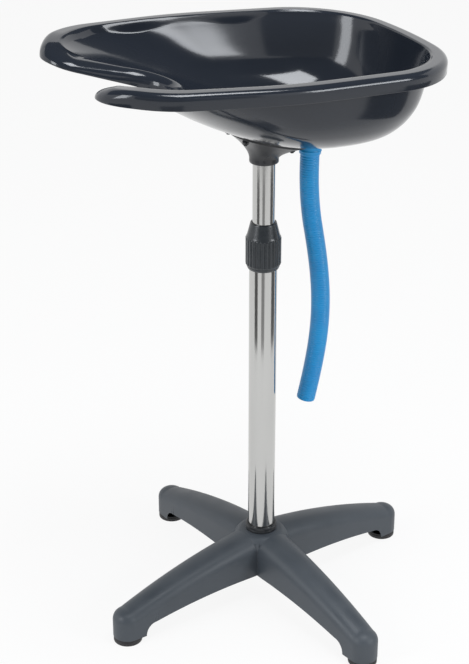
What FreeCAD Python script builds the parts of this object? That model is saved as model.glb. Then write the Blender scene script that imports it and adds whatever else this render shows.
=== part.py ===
"""Free-standing pet bathtub: a neck-notched wash basin that slides and swivels on a column with a four-leg base.

Frame: millimetres, +Z up, +X from the basin's neck notch to its drain end, floor at Z = 0, origin under the
centre of the whole object's outline.
"""

import FreeCAD, Part
import math
import os

from FreeCAD import Placement, Rotation, Vector

os.makedirs("parts", exist_ok=True)

# ---------------------------------------------------------------- driving dimensions
# Base: a four-leg moulding, hollow underneath
LEG_COUNT = 4
LEG_AZIMUTH = 10.0  # first leg, degrees from the basin's long axis
FOOT_CIRCLE = 231.7  # column axis to a foot's centre
HUB_RADIUS = 38.0
HUB_FOOT = 38.0
HUB_FLOOR = 44.0  # bottom of the column's socket
HUB_SHOULDER = 91.0
HUB_TOP = 98.0
HUB_CORE_RADIUS = 25.0
LEG_WALL = 4.0
LEG_HALF_WIDTHS = (27.0, 24.5, 20.5)  # at the hub, half way and over the foot
LEG_CRESTS = (99.0, 82.0, 50.0)
LEG_STATIONS = (12.0, 120.0, FOOT_CIRCLE)
LEG_ARCH = 0.72  # height of the rounded top as a share of the half width
LEG_RIB = 3.0
LEG_RIB_STATIONS = (70.0, 115.0, 160.0)
BOSS_START = 206.0  # where the solid foot boss begins
BOSS_FOOT = 9.0
ARCH_MIDDLE = (118.0, 36.5)  # the underside's arch: a point half way along, as station and height
ARCH_END = (197.0, 27.0)
STEP_MIDDLE = (208.5, 18.0)
STEP_FOOT = 214.0
GROOVE_WIDTH = 1.6
GROOVE_DEPTH = 1.2

# Feet
GLIDE_RADIUS = 20.0
STEM_RADIUS = 5.0
STEM_TOP = 38.0
STEM_HEAD_RADIUS = 9.0
STEM_HEAD = (4.0, 7.0)

# Column
LOWER_TUBE_RADIUS = 19.0
UPPER_TUBE_RADIUS = 15.0
TUBE_WALL = 1.5
LOWER_TUBE_TOP = 548.0
UPPER_TUBE_FOOT = 140.0
UPPER_TUBE_TOP = 678.0
RUNNING_GAP = 0.05
BUSH_FOOT = 136.0
BUSH_TOP = 180.0
HUB_RING_RADIUS = 22.0
HUB_RING_TOP = 107.0
ANCHOR_TOP = 56.0
BOLT_RADIUS = 4.0
BOLT_TOP = 54.0
BOLT_HEAD_HEIGHT = 5.3
BOLT_ACROSS_FLATS = 13.0
WASHER_RADIUS = 12.0
WASHER_THICKNESS = 2.0

# Twist-lock collar at the lower tube's top
COLLAR_RADIUS = 24.0
COLLAR_FOOT = 502.0
COLLAR_SEAT = 512.8  # top of the fixed flange
COLLAR_SLEEVE_RADIUS = 21.0
NUT_FOOT = 513.2
GRIP_TOP = 546.0
COLLAR_TOP = 572.0
COLLAR_MOUTH_RADIUS = 17.5
COLLET_TOP = 570.0
COLLET_SLOTS = 6
COLLET_SLOT = 1.2
GRIP_RIBS = 24
GRIP_RIB_RADIUS = 1.6
CLEARANCE = 0.4

# Basin, in its own frame: u along its axis, v across, w up from the rim plane
RIM_HEIGHT = 812.0
BASIN_LEAN = 2.65  # degrees, drain end low
WALL = 3.0
RIM_ENDS = (-277.0, 222.0)  # notch end and drain end of the outline, before the notch is cut
RIM_WIDEST = -50.0
RIM_HALF_WIDTH = 189.0
CORNER_SETBACK = 0.055
CORNER_SHARES = (0.91, 0.84)
CORNER_BLEND = 0.64
SIDE_BLEND = 0.25
LIP_HEIGHT = 20.0
LIP_WIDTH = 22.0
LIP_ROLL = 8.0
LOBE_RADIUS = 40.0
LOBE_REACH = 263.5  # column axis to the lobes' tips
LOBE_CREST = 92.0  # half width beyond which the lobes' crest is level with the rim
NOTCH_APEX = -130.0
NOTCH_FLARE = 8.0  # degrees each flank opens towards the mouth
NOTCH_MOUTH = -262.0
NOTCH_MOUTH_HALF_WIDTH = 57.5
NOTCH_CREST_DROP = (10.0, 39.0)  # crest below the rim plane at the mouth and at the apex
NOTCH_SKIRT_DROP = (3.0, 40.0)  # the skirt's extra depth at the mouth and at the apex
NOTCH_ROLLS = (18.0, 11.0)  # width of the roll at the mouth and at the apex
NOTCH_DIP = 4.0  # the lip's inner border sinks this far where it flows into the bowl
NOTCH_WALL_INSET = 15.0
NOTCH_WALL_DEPTH = 60.0
# Bowl contours, outside: depth, notch-end reach, drain-end reach, half width, where it is widest
BOWL_CONTOURS = (
    (2.0, -264.0, 203.0, 168.5, -50.0),
    (16.0, -252.0, 201.0, 167.0, -40.0),
    (30.0, -208.0, 198.0, 165.5, -25.0),
    (60.0, -150.0, 192.0, 159.0, 0.0),
    (82.0, -106.0, 183.0, 146.0, 16.0),
    (102.0, -58.0, 169.0, 120.0, 40.0),
    (118.0, -8.0, 150.0, 80.0, 65.0),
    (127.0, 30.0, 122.0, 46.0, 76.0),
    (130.0, 44.0, 106.0, 32.0, 75.0),
)

# Drain, on the bowl's lowest flat
DRAIN_U = 75.0
DRAIN_HOLE_RADIUS = 14.0
STRAINER_RADIUS = 20.0
STRAINER_THICKNESS = 2.5
STRAINER_HOLE_RADIUS = 1.3
STRAINER_RINGS = ((6.6, 8), (10.4, 14))  # radius and number of holes
GASKET_RADIUS = 17.5
GASKET_THICKNESS = 1.5
TAIL_FLANGE = 3.0
TAIL_RADIUS = 11.0
TAIL_BORE = 9.0
TAIL_FOOT = -152.0
CUFF_RADIUS = 14.5
CUFF_BEAD = 0.8
DRAIN_SCREW_RADIUS = 2.5
HOSE_RADIUS = 13.0
HOSE_BORE = 10.5

# Bracket under the bowl
SOCKET_RADIUS = 19.5
SOCKET_FOOT = 650.0
SOCKET_CHAMFER = 1.5
GUSSET_COUNT = 4
GUSSET_THICKNESS = 6.0
GUSSET_REACH = 42.0
GUSSET_FOOT = 656.0
PAD_THICKNESS = 4.0
PAD_HALF_LENGTH = 47.0
PAD_HALF_WIDTH = 36.0
PAD_CORNER = 12.0
SCREW_PLACES = ((34.0, 25.0), (34.0, -25.0), (-34.0, 25.0), (-34.0, -25.0))
SCREW_RADIUS = 2.5
SCREW_HEAD_RADIUS = 4.8
SCREW_BOSS_RADIUS = 6.5
NUT_ACROSS_FLATS = 8.0
NUT_HEIGHT = 4.0

# ---------------------------------------------------------------- frames
lean = math.radians(BASIN_LEAN)
foot_reach = FOOT_CIRCLE * math.cos(math.radians(LEG_AZIMUTH)) + LEG_HALF_WIDTHS[2]
COLUMN_X = round((LOBE_REACH * math.cos(lean) - foot_reach) / 2.0, 1)
TO_ROW = Placement(Vector(COLUMN_X, 0, 0), Rotation())
BASIN_PLACE = Placement(Vector(0, 0, RIM_HEIGHT), Rotation(Vector(0, 1, 0), BASIN_LEAN))
UP = Vector(0, 0, 1)
ORIGIN = Vector(0, 0, 0)


def export(name, shape):
    """Moves a shape from the column's frame to the part's frame and writes it as one node."""
    placed = shape.copy()
    placed.Placement = TO_ROW.multiply(placed.Placement)
    placed.exportStep("parts/%s.step" % name)
    print("%-18s solids %d valid %s volume %.0f" % (name, len(placed.Solids), placed.isValid(), placed.Volume))
    return placed


def in_basin(shape):
    """Carries a shape from the basin's frame to the column's frame."""
    moved = shape.copy()
    moved.Placement = BASIN_PLACE.multiply(moved.Placement)
    return moved


def basin_point(u, v, w):
    """The column-frame place of a point given in the basin's frame."""
    return BASIN_PLACE.multVec(Vector(u, v, w))


# ---------------------------------------------------------------- common forms
def cylinder(radius, low, high, x=0.0, y=0.0):
    """A vertical cylinder between two heights."""
    return Part.makeCylinder(radius, high - low, Vector(x, y, low), UP)


def ring(outer, inner, low, high, x=0.0, y=0.0):
    """A vertical tube between two heights."""
    return cylinder(outer, low, high, x, y).cut(cylinder(inner, low - 1.0, high + 1.0, x, y))


def revolve(profile, x=0.0, y=0.0):
    """Turns a closed outline of (radius, height) points about a vertical axis."""
    points = [Vector(x + r, y, z) for r, z in profile]
    face = Part.Face(Part.makePolygon(points + points[:1]))
    return face.revolve(Vector(x, y, 0), UP, 360)


def turned(shape, degrees):
    """A copy turned about the column's axis."""
    copy = shape.copy()
    copy.rotate(ORIGIN, UP, degrees)
    return copy


def hexagon(across_flats, low, high, x=0.0, y=0.0):
    """A hexagonal prism between two heights."""
    radius = across_flats / math.sqrt(3.0)
    points = []
    for k in range(7):
        angle = math.radians(60.0 * k)
        points.append(Vector(x + radius * math.cos(angle), y + radius * math.sin(angle), low))
    return Part.Face(Part.makePolygon(points)).extrude(Vector(0, 0, high - low))


# ---------------------------------------------------------------- basin
def blended(corners, lengths):
    """A closed wire of straight runs and tangent arcs; each arc starts a given length before its corner."""
    count = len(corners)
    starts = []
    ends = []
    edges = []
    for k in range(count):
        before = corners[k - 1].sub(corners[k]).normalize()
        after = corners[(k + 1) % count].sub(corners[k]).normalize()
        half = before.getAngle(after) / 2.0
        radius = lengths[k] * math.tan(half)
        bisector = before.add(after).normalize()
        starts.append(corners[k].add(before * lengths[k]))
        ends.append(corners[k].add(after * lengths[k]))
        middle = corners[k].add(bisector * (radius / math.sin(half) - radius))
        edges.append(Part.Arc(starts[k], middle, ends[k]).toShape())
    ordered = []
    for k in range(count):
        ordered.append(edges[k])
        ordered.append(Part.LineSegment(ends[k], starts[(k + 1) % count]).toShape())
    return Part.Wire(ordered)


def contour(notch_end, drain_end, half_width, widest, height):
    """A rounded, slightly bulging contour of the basin at one height, symmetric about its axis."""
    notch_corner = notch_end + CORNER_SETBACK * (widest - notch_end)
    drain_corner = drain_end - CORNER_SETBACK * (drain_end - widest)
    notch_side, drain_side = (share * half_width for share in CORNER_SHARES)
    half = [
        (drain_end, 0.0),
        (drain_corner, drain_side),
        (widest, half_width),
        (notch_corner, notch_side),
        (notch_end, 0.0),
    ]
    plan = half + [(u, -v) for u, v in half[3:0:-1]]
    corners = [Vector(u, v, height) for u, v in plan]
    side = SIDE_BLEND * min(drain_corner - widest, widest - notch_corner)
    drain_turn = CORNER_BLEND * drain_side
    notch_turn = CORNER_BLEND * notch_side
    drain_nose = 0.3 * drain_side
    notch_nose = 0.3 * notch_side
    lengths = [drain_nose, drain_turn, side, notch_turn, notch_nose, notch_turn, side, drain_turn]
    return blended(corners, lengths)


def bowl_solid(thickness):
    """The bowl's volume: its outer form, or with a thickness its hollow."""
    wires = []
    for depth, notch_end, drain_end, half_width, widest in BOWL_CONTOURS:
        height = thickness - depth
        if wires == [] and thickness > 0.0:
            height = 1.0
        reach = (notch_end + thickness, drain_end - thickness)
        wires.append(contour(reach[0], reach[1], half_width - thickness, widest, height))
    return Part.makeLoft(wires, True, True)


def notch_face():
    """The neck notch in plan: flared flanks that run tangent into a round apex."""
    flare = math.radians(NOTCH_FLARE)
    depth = NOTCH_APEX - NOTCH_MOUTH
    radius = (NOTCH_MOUTH_HALF_WIDTH * math.cos(flare) - depth * math.sin(flare)) / (1.0 - math.sin(flare))
    outside = NOTCH_MOUTH - 60.0
    wide = NOTCH_MOUTH_HALF_WIDTH + (NOTCH_MOUTH - outside) * math.tan(flare)
    touch = NOTCH_APEX - radius + radius * math.sin(flare)
    half = radius * math.cos(flare)
    a = Vector(outside, wide, 0)
    b = Vector(touch, half, 0)
    c = Vector(NOTCH_APEX, 0, 0)
    d = Vector(touch, -half, 0)
    e = Vector(outside, -wide, 0)
    edges = [
        Part.LineSegment(a, b).toShape(),
        Part.Arc(b, c, d).toShape(),
        Part.LineSegment(d, e).toShape(),
        Part.LineSegment(e, a).toShape(),
    ]
    return Part.Face(Part.Wire(edges))


def rim_outline():
    """The rim's outline in plan, with the notch taken out and its two lobes rounded."""
    full = Part.Face(contour(RIM_ENDS[0], RIM_ENDS[1], RIM_HALF_WIDTH, RIM_WIDEST, 0.0))
    prism = full.cut(notch_face()).extrude(Vector(0, 0, 10))
    corners = []
    for edge in prism.Edges:
        if edge.BoundBox.ZLength > 9.0 and edge.CenterOfMass.x < NOTCH_MOUTH - 8.0:
            corners.append(edge)
    rounded = prism.makeFillet(LOBE_RADIUS, corners)
    floor = min(rounded.Faces, key=lambda f: f.CenterOfMass.z)
    return Part.sortEdges(floor.OuterWire.Edges)[0]


def smooth_step(x):
    """Eases from 0 to 1 as x goes from 0 to 1."""
    x = min(1.0, max(0.0, x))
    return x * x * (3.0 - 2.0 * x)


def notch_share(u, v):
    """How much of the notch's own form an edge point has: 1 round the notch, 0 on the level rim."""
    if u > NOTCH_APEX + NOTCH_MOUTH_HALF_WIDTH:
        return 0.0
    return 1.0 - smooth_step((abs(v) - NOTCH_MOUTH_HALF_WIDTH) / (LOBE_CREST - NOTCH_MOUTH_HALF_WIDTH))


def along_notch(pair, u):
    """A value between its size at the notch's mouth and its size at the apex."""
    return pair[0] + (pair[1] - pair[0]) * (u - NOTCH_MOUTH) / (NOTCH_APEX - NOTCH_MOUTH)


def rim_drop(u, v, share):
    """How far the rim dips at the notch; the share goes from 0 at the crest to 1 at the skirt's foot."""
    fall = (1.0 - share) * along_notch(NOTCH_CREST_DROP, u) + share * along_notch(NOTCH_SKIRT_DROP, u)
    return max(0.0, fall) * notch_share(u, v)


def rim_stations(edge, inside, count):
    """Points evenly along one edge of the outline, each with the level direction that leaves the outline there."""
    stations = []
    for k in range(count):
        share = k / (count - 1.0)
        parameter = edge.FirstParameter + share * (edge.LastParameter - edge.FirstParameter)
        place = edge.valueAt(parameter)
        along = edge.tangentAt(parameter)
        away = Vector(along.y, -along.x, 0).normalize()
        if inside.isInside(place.add(away * 0.5), 0.01, True):
            away = away.negative()
        stations.append((place, away))
    return stations


def is_level(edge):
    """Whether an edge of the outline keeps the rim's full height."""
    return all(notch_share(vertex.Point.x, vertex.Point.y) == 0.0 for vertex in edge.Vertexes)


def run_beside(edge, inside, section, k, dips=True):
    """The run of one section corner beside an edge; it follows the rim's dip, or stays in one level plane."""
    straight = isinstance(edge.Curve, Part.Line)
    plain = is_level(edge) or not dips
    round_edge = isinstance(edge.Curve, Part.Circle)
    points = []
    for place, away in rim_stations(edge, inside, 2 if straight and plain else 3 if plain and round_edge else 9):
        outward, up = section(place.x, place.y)[k]
        fall = rim_drop(place.x, place.y, min(1.0, -up / LIP_HEIGHT)) if dips else 0.0
        points.append(place.add(away * outward).add(Vector(0, 0, up - fall)))
    if straight and plain:
        return Part.LineSegment(points[0], points[1]).toShape()
    if plain and round_edge:
        return Part.Arc(points[0], points[1], points[2]).toShape()
    curve = Part.BSplineCurve()
    curve.interpolate(Points=points)
    return curve.toShape()


def carried(edges, section):
    """Carries a closed section, a function of the place, along the rim's edges, kept upright, as one solid."""
    inside = Part.Face(Part.Wire(edges))
    level = section(0.0, 0.0)
    faces = []
    for edge in edges:
        runs = [run_beside(edge, inside, section, k) for k in range(len(level))]
        plain = is_level(edge)
        for k in range(len(runs)):
            faces.append(strip(runs[k - 1], runs[k], plain, level[k - 1], level[k]))
    shell = Part.makeShell(faces)
    shell.sewShape()
    solid = Part.Solid(Part.Shell(shell.Faces))
    if solid.Volume < 0.0:
        solid.reverse()
    return solid


def inset_prism(edges, inset, low, high):
    """The rim's outline moved inwards and drawn out between two heights."""
    inside = Part.Face(Part.Wire(edges))
    runs = [run_beside(edge, inside, lambda u, v: [(-inset, low)], 0, False) for edge in edges]
    return Part.Face(Part.Wire(Part.sortEdges(runs)[0])).extrude(Vector(0, 0, high - low))


def strip(first, second, plain, corner, next_corner):
    """The face between two runs of a carried section, as a plane or an upright wall where it is one."""
    if plain and corner[0] == next_corner[0]:
        return first.extrude(Vector(0, 0, next_corner[1] - corner[1]))
    if plain and corner[1] == next_corner[1] and abs(first.BoundBox.ZLength) < 1e-6:
        ends = []
        for near, far in zip(first.Vertexes, second.Vertexes):
            ends.append(Part.LineSegment(near.Point, far.Point).toShape())
        return Part.Face(Part.Wire(Part.sortEdges([first, second] + ends)[0]))
    return Part.makeRuledSurface(first, second)


def quarter(wide, high, thick=0.0, steps=3):
    """Corners (outward, up) of the roll's quarter turn, from its crest out and down; thick moves it inside."""
    corners = []
    for k in range(steps + 1):
        angle = math.radians(90.0 - 90.0 * k / steps)
        across = (wide - thick) * math.cos(angle) - wide
        corners.append((across, (high - thick) * math.sin(angle) - high))
    return corners


def lip_section(u, v):
    """The rolled lip's section: inner border, crest, rolled shoulder, hanging skirt and the roll's inside."""
    share = notch_share(u, v)
    roll = LIP_ROLL + share * (along_notch(NOTCH_ROLLS, u) - LIP_ROLL)
    dip = share * NOTCH_DIP
    section = [(-LIP_WIDTH, -WALL - dip), (-LIP_WIDTH, -1.2 - dip), (-LIP_WIDTH + 1.5, -dip)]
    section += quarter(roll, roll)
    section += [(0.0, -LIP_HEIGHT), (-WALL, -LIP_HEIGHT)]
    section += reversed(quarter(roll, roll, WALL, 2))
    return section


def notch_wall_section(u, v):
    """The upright wall that closes the bowl round the notch and the lobes, under the lip."""
    outer = -NOTCH_WALL_INSET + WALL / 2.0
    inner = -NOTCH_WALL_INSET - WALL / 2.0
    middle = -WALL / 2.0
    inner_top = middle - 0.3 * NOTCH_DIP * notch_share(u, v)
    outer_top = middle - 0.2 * NOTCH_DIP * notch_share(u, v)
    return [(inner, inner_top), (outer, outer_top), (outer, -NOTCH_WALL_DEPTH), (inner, -NOTCH_WALL_DEPTH)]


def underside(bowl, u, v):
    """The height, in the basin's frame, of the bowl's underside at one place."""
    deepest = BOWL_CONTOURS[-1][0]
    line = Part.LineSegment(Vector(u, v, -deepest - 5.0), Vector(u, v, -LIP_HEIGHT)).toShape()
    return line.common(bowl).BoundBox.ZMin


def screw_levels(bowl, u, v):
    """Heights of the flat seats for one bracket screw: inside the bowl and below the bracket's pad."""
    inside = []
    below = []
    for k in range(8):
        angle = math.radians(45.0 * k)
        low = underside(bowl, u + SCREW_BOSS_RADIUS * math.cos(angle), v + SCREW_BOSS_RADIUS * math.sin(angle))
        inside.append(low + WALL)
        below.append(low - PAD_THICKNESS)
    return max(inside) + 0.5, min(below) - 0.5


def basin_shell(bowl):
    """The whole moulding: bowl, wall round the notch, rolled lip, screw bosses and the drain's hole."""
    edges = rim_outline()
    deepest = BOWL_CONTOURS[-1][0]
    shell = bowl.cut(bowl_solid(WALL))
    shell = shell.common(inset_prism(edges, NOTCH_WALL_INSET, -deepest - 10.0, 10.0))
    wall = carried(edges, notch_wall_section).common(bowl)
    zone = Part.makeBox(180.0, 2.0 * RIM_HALF_WIDTH, deepest + 20.0, Vector(-270.0, -RIM_HALF_WIDTH, -deepest - 10.0))
    shell = shell.fuse(wall.common(zone))
    shell = shell.fuse(carried(edges, lip_section))
    for u, v in SCREW_PLACES:
        boss = cylinder(SCREW_BOSS_RADIUS, -deepest - 10.0, screw_levels(bowl, u, v)[0], u, v)
        shell = shell.fuse(boss.common(bowl))
    for u, v in SCREW_PLACES:
        shell = shell.cut(cylinder(SCREW_RADIUS, -deepest - 10.0, 0.0, u, v))
    return shell.cut(cylinder(DRAIN_HOLE_RADIUS, -deepest - 10.0, -deepest + 20.0, DRAIN_U))


# ---------------------------------------------------------------- bracket
def gusset():
    """One concave gusset along +u, drawn up into the bowl; the bowl's underside trims it."""
    top = RIM_HEIGHT - LIP_HEIGHT
    reach = GUSSET_REACH
    root = SOCKET_RADIUS - 2.0
    height = UPPER_TUBE_TOP + 2.0
    a = Vector(root, 0, GUSSET_FOOT)
    b = Vector(SOCKET_RADIUS + 0.5, 0, GUSSET_FOOT)
    c = Vector(reach, 0, height)
    middle = Vector(SOCKET_RADIUS + 0.25 * (reach - SOCKET_RADIUS), 0, GUSSET_FOOT + 0.62 * (height - GUSSET_FOOT))
    edges = [
        Part.LineSegment(a, b).toShape(),
        Part.Arc(b, middle, c).toShape(),
        Part.LineSegment(c, Vector(reach, 0, top)).toShape(),
        Part.LineSegment(Vector(reach, 0, top), Vector(root, 0, top)).toShape(),
        Part.LineSegment(Vector(root, 0, top), a).toShape(),
    ]
    blade = Part.Face(Part.Wire(edges)).extrude(Vector(0, GUSSET_THICKNESS, 0))
    blade.translate(Vector(0, -GUSSET_THICKNESS / 2.0, 0))
    return blade


def pad_prism():
    """The bracket pad's rounded outline as an upright prism through the bowl's floor, in the basin's frame."""
    deepest = BOWL_CONTOURS[-1][0]
    low = -deepest - 20.0
    corner = Vector(-PAD_HALF_LENGTH, -PAD_HALF_WIDTH, low)
    prism = Part.makeBox(2.0 * PAD_HALF_LENGTH, 2.0 * PAD_HALF_WIDTH, -LIP_HEIGHT - low, corner)
    uprights = [edge for edge in prism.Edges if edge.BoundBox.ZLength > deepest / 2.0]
    return prism.makeFillet(PAD_CORNER, uprights)


def mount_bracket(bowl):
    """Socket, gussets and a pad that follows the bowl's underside, bored for the upper tube."""
    lowered = bowl.copy()
    lowered.translate(Vector(0, 0, -PAD_THICKNESS))
    pad = pad_prism().common(lowered)
    for u, v in SCREW_PLACES:
        pad = pad.fuse(cylinder(SCREW_BOSS_RADIUS, screw_levels(bowl, u, v)[1], -LIP_HEIGHT, u, v))
    block = in_basin(pad)
    profile = [(0, SOCKET_FOOT), (SOCKET_RADIUS - SOCKET_CHAMFER, SOCKET_FOOT)]
    profile += [(SOCKET_RADIUS, SOCKET_FOOT + SOCKET_CHAMFER), (SOCKET_RADIUS, RIM_HEIGHT - LIP_HEIGHT)]
    profile += [(0, RIM_HEIGHT - LIP_HEIGHT)]
    block = block.fuse(revolve(profile))
    for k in range(GUSSET_COUNT):
        block = block.fuse(turned(gusset(), 360.0 * k / GUSSET_COUNT))
    block = block.cut(in_basin(bowl)).cut(cylinder(UPPER_TUBE_RADIUS, SOCKET_FOOT - 1.0, UPPER_TUBE_TOP))
    for u, v in SCREW_PLACES:
        block = block.cut(in_basin(cylinder(SCREW_RADIUS, -BOWL_CONTOURS[-1][0] - 20.0, 0.0, u, v)))
    return max(block.Solids, key=lambda solid: solid.Volume)


def bracket_screws(bowl):
    """Four bolts through the bowl and the pad, each with a domed head inside and a nut below."""
    bolts = []
    for u, v in SCREW_PLACES:
        seat, under = screw_levels(bowl, u, v)
        head = [(0, seat), (SCREW_HEAD_RADIUS, seat), (SCREW_HEAD_RADIUS - 0.6, seat + 1.6)]
        head += [(SCREW_HEAD_RADIUS - 2.2, seat + 2.6), (0, seat + 3.0)]
        bolt = revolve(head, u, v).fuse(cylinder(SCREW_RADIUS, under - NUT_HEIGHT - 2.0, seat, u, v))
        bolts.append(bolt.fuse(hexagon(NUT_ACROSS_FLATS, under - NUT_HEIGHT, under, u, v)))
    return in_basin(Part.makeCompound(bolts))


# ---------------------------------------------------------------- drain, in the basin's frame
drain_seat = -BOWL_CONTOURS[-1][0] + WALL
drain_under = -BOWL_CONTOURS[-1][0]
tail_top = drain_under - GASKET_THICKNESS
tail_shoulder = tail_top - TAIL_FLANGE


def drain_strainer():
    """A flanged cup plate with two rings of holes; its spigot passes through the bowl's hole."""
    rim = STRAINER_RADIUS
    bore = DRAIN_HOLE_RADIUS
    top = drain_seat + STRAINER_THICKNESS
    profile = [(0, top - 1.0), (bore, top - 1.0), (bore + 1.5, top), (rim - 2.0, top), (rim, drain_seat)]
    profile += [(bore, drain_seat), (bore, drain_under), (bore - 1.5, drain_under), (bore - 1.5, drain_seat - 1.0)]
    profile += [(0, drain_seat - 1.0)]
    plate = revolve(profile, DRAIN_U)
    for radius, count in STRAINER_RINGS:
        for k in range(count):
            angle = 2.0 * math.pi * k / count
            x = DRAIN_U + radius * math.cos(angle)
            y = radius * math.sin(angle)
            plate = plate.cut(cylinder(STRAINER_HOLE_RADIUS, drain_under, top + 1.0, x, y))
    return plate.cut(cylinder(DRAIN_SCREW_RADIUS, drain_under, top + 1.0, DRAIN_U))


def drain_tailpiece():
    """A flanged tube with a three-arm spider that takes the strainer's screw."""
    tube = ring(GASKET_RADIUS, TAIL_BORE, tail_shoulder, tail_top, DRAIN_U)
    tube = tube.fuse(ring(TAIL_RADIUS, TAIL_BORE, TAIL_FOOT, tail_shoulder, DRAIN_U))
    hub = cylinder(2.0 * DRAIN_SCREW_RADIUS, tail_shoulder - 4.0, tail_top, DRAIN_U)
    for k in range(3):
        arm = Part.makeBox(TAIL_BORE + 1.0, 2.0, TAIL_FLANGE, Vector(0, -1.0, tail_shoulder))
        arm.rotate(ORIGIN, UP, 120.0 * k)
        arm.translate(Vector(DRAIN_U, 0, 0))
        hub = hub.fuse(arm)
    return tube.fuse(hub).cut(cylinder(DRAIN_SCREW_RADIUS, tail_shoulder - 5.0, tail_top + 1.0, DRAIN_U))


def strainer_screw():
    """The countersunk-looking round head screw that clamps strainer, bowl, gasket and tailpiece."""
    seat = drain_seat + STRAINER_THICKNESS - 1.0
    head = revolve([(0, seat), (4.5, seat), (3.8, seat + 1.5), (2.0, seat + 2.2), (0, seat + 2.4)], DRAIN_U)
    return head.fuse(cylinder(DRAIN_SCREW_RADIUS, tail_shoulder - 4.0, seat, DRAIN_U))


def hose_cuff():
    """The moulded cuff at the hose's top, with two grip beads, pushed over the tailpiece."""
    length = tail_shoulder - TAIL_FOOT
    profile = [(TAIL_RADIUS, TAIL_FOOT), (CUFF_RADIUS - 1.0, TAIL_FOOT), (CUFF_RADIUS, TAIL_FOOT + 1.0)]
    for share in (0.3, 0.7):
        middle = TAIL_FOOT + share * length
        profile += [(CUFF_RADIUS, middle - 1.5), (CUFF_RADIUS + CUFF_BEAD, middle - 0.8)]
        profile += [(CUFF_RADIUS + CUFF_BEAD, middle + 0.8), (CUFF_RADIUS, middle + 1.5)]
    profile += [(CUFF_RADIUS, tail_shoulder - 0.5), (CUFF_RADIUS - 0.5, tail_shoulder), (TAIL_RADIUS, tail_shoulder)]
    return revolve(profile, DRAIN_U)


# Hose centreline after its start at the cuff, in the column's frame, ending bare
HOSE_POINTS = ((65.3, 0.0, 600.0), (81.8, -6.8, 500.0), (85.9, -8.8, 425.0), (79.1, -5.5, 350.0), (68.8, -0.4, 293.0))
BEND_SHARE = 0.45


def hose_path():
    """The hose's centreline: straight runs joined by tangent arcs."""
    points = [basin_point(DRAIN_U, 0, TAIL_FOOT)] + [Vector(*point) for point in HOSE_POINTS]
    edges = []
    here = points[0]
    for k in range(1, len(points) - 1):
        back = points[k - 1].sub(points[k])
        on = points[k + 1].sub(points[k])
        cut = BEND_SHARE * min(back.Length, on.Length)
        back.normalize()
        on.normalize()
        half = back.getAngle(on) / 2.0
        radius = cut * math.tan(half)
        start = points[k].add(back * cut)
        end = points[k].add(on * cut)
        bisector = back.add(on).normalize()
        middle = points[k].add(bisector * (radius / math.sin(half) - radius))
        edges.append(Part.LineSegment(here, start).toShape())
        edges.append(Part.Arc(start, middle, end).toShape())
        print("hose bend %d radius %.0f" % (k, radius))
        here = end
    edges.append(Part.LineSegment(here, points[-1]).toShape())
    return Part.Wire(edges)


def drain_hose():
    """The drain hose as a plain tube along its centreline."""
    path = hose_path()
    first = path.OrderedEdges[0]
    start = first.valueAt(first.FirstParameter)
    along = first.tangentAt(first.FirstParameter)
    tubes = []
    for radius in (HOSE_RADIUS, HOSE_BORE):
        section = Part.Wire([Part.makeCircle(radius, start, along)])
        tubes.append(path.makePipeShell([section], True, False))
    hose = tubes[0].cut(tubes[1])
    area = math.pi * (HOSE_RADIUS ** 2 - HOSE_BORE ** 2)
    print("hose length %.1f volume share %.4f" % (path.Length, hose.Volume / (area * path.Length)))
    return hose


# ---------------------------------------------------------------- base
def leg_section(station, half_width, crest, low):
    """A leg's upright section: straight sides under a rounded top."""
    shoulder = crest - LEG_ARCH * half_width
    a = Vector(station, -half_width, low)
    b = Vector(station, -half_width, shoulder)
    c = Vector(station, half_width, shoulder)
    d = Vector(station, half_width, low)
    edges = [
        Part.LineSegment(a, b).toShape(),
        Part.Arc(b, Vector(station, 0, crest), c).toShape(),
        Part.LineSegment(c, d).toShape(),
        Part.LineSegment(d, a).toShape(),
    ]
    return Part.Wire(edges)


def leg_body(inset, low):
    """A leg's arched beam from the hub to its foot, or the hollow inside it."""
    wires = []
    for station, half_width, crest in zip(LEG_STATIONS, LEG_HALF_WIDTHS, LEG_CRESTS):
        wires.append(leg_section(station, half_width - inset, crest - inset, low))
    return Part.makeLoft(wires, True, False)


def knuckle():
    """The rounded end over the foot: half the end section turned about the foot's axis."""
    half_width = LEG_HALF_WIDTHS[2]
    crest = LEG_CRESTS[2]
    shoulder = crest - LEG_ARCH * half_width
    centre = crest - (half_width ** 2 + (crest - shoulder) ** 2) / (2.0 * (crest - shoulder))
    radius = crest - centre
    tilt = math.asin(half_width / radius) / 2.0
    a = Vector(0, 0, BOSS_FOOT)
    b = Vector(0, 0, crest)
    middle = Vector(radius * math.sin(tilt), 0, centre + radius * math.cos(tilt))
    c = Vector(half_width, 0, shoulder)
    d = Vector(half_width, 0, BOSS_FOOT)
    edges = [
        Part.LineSegment(a, b).toShape(),
        Part.Arc(b, middle, c).toShape(),
        Part.LineSegment(c, d).toShape(),
        Part.LineSegment(d, a).toShape(),
    ]
    dome = Part.Face(Part.Wire(edges)).revolve(ORIGIN, UP, 360)
    dome.translate(Vector(FOOT_CIRCLE, 0, 0))
    return dome


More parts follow.
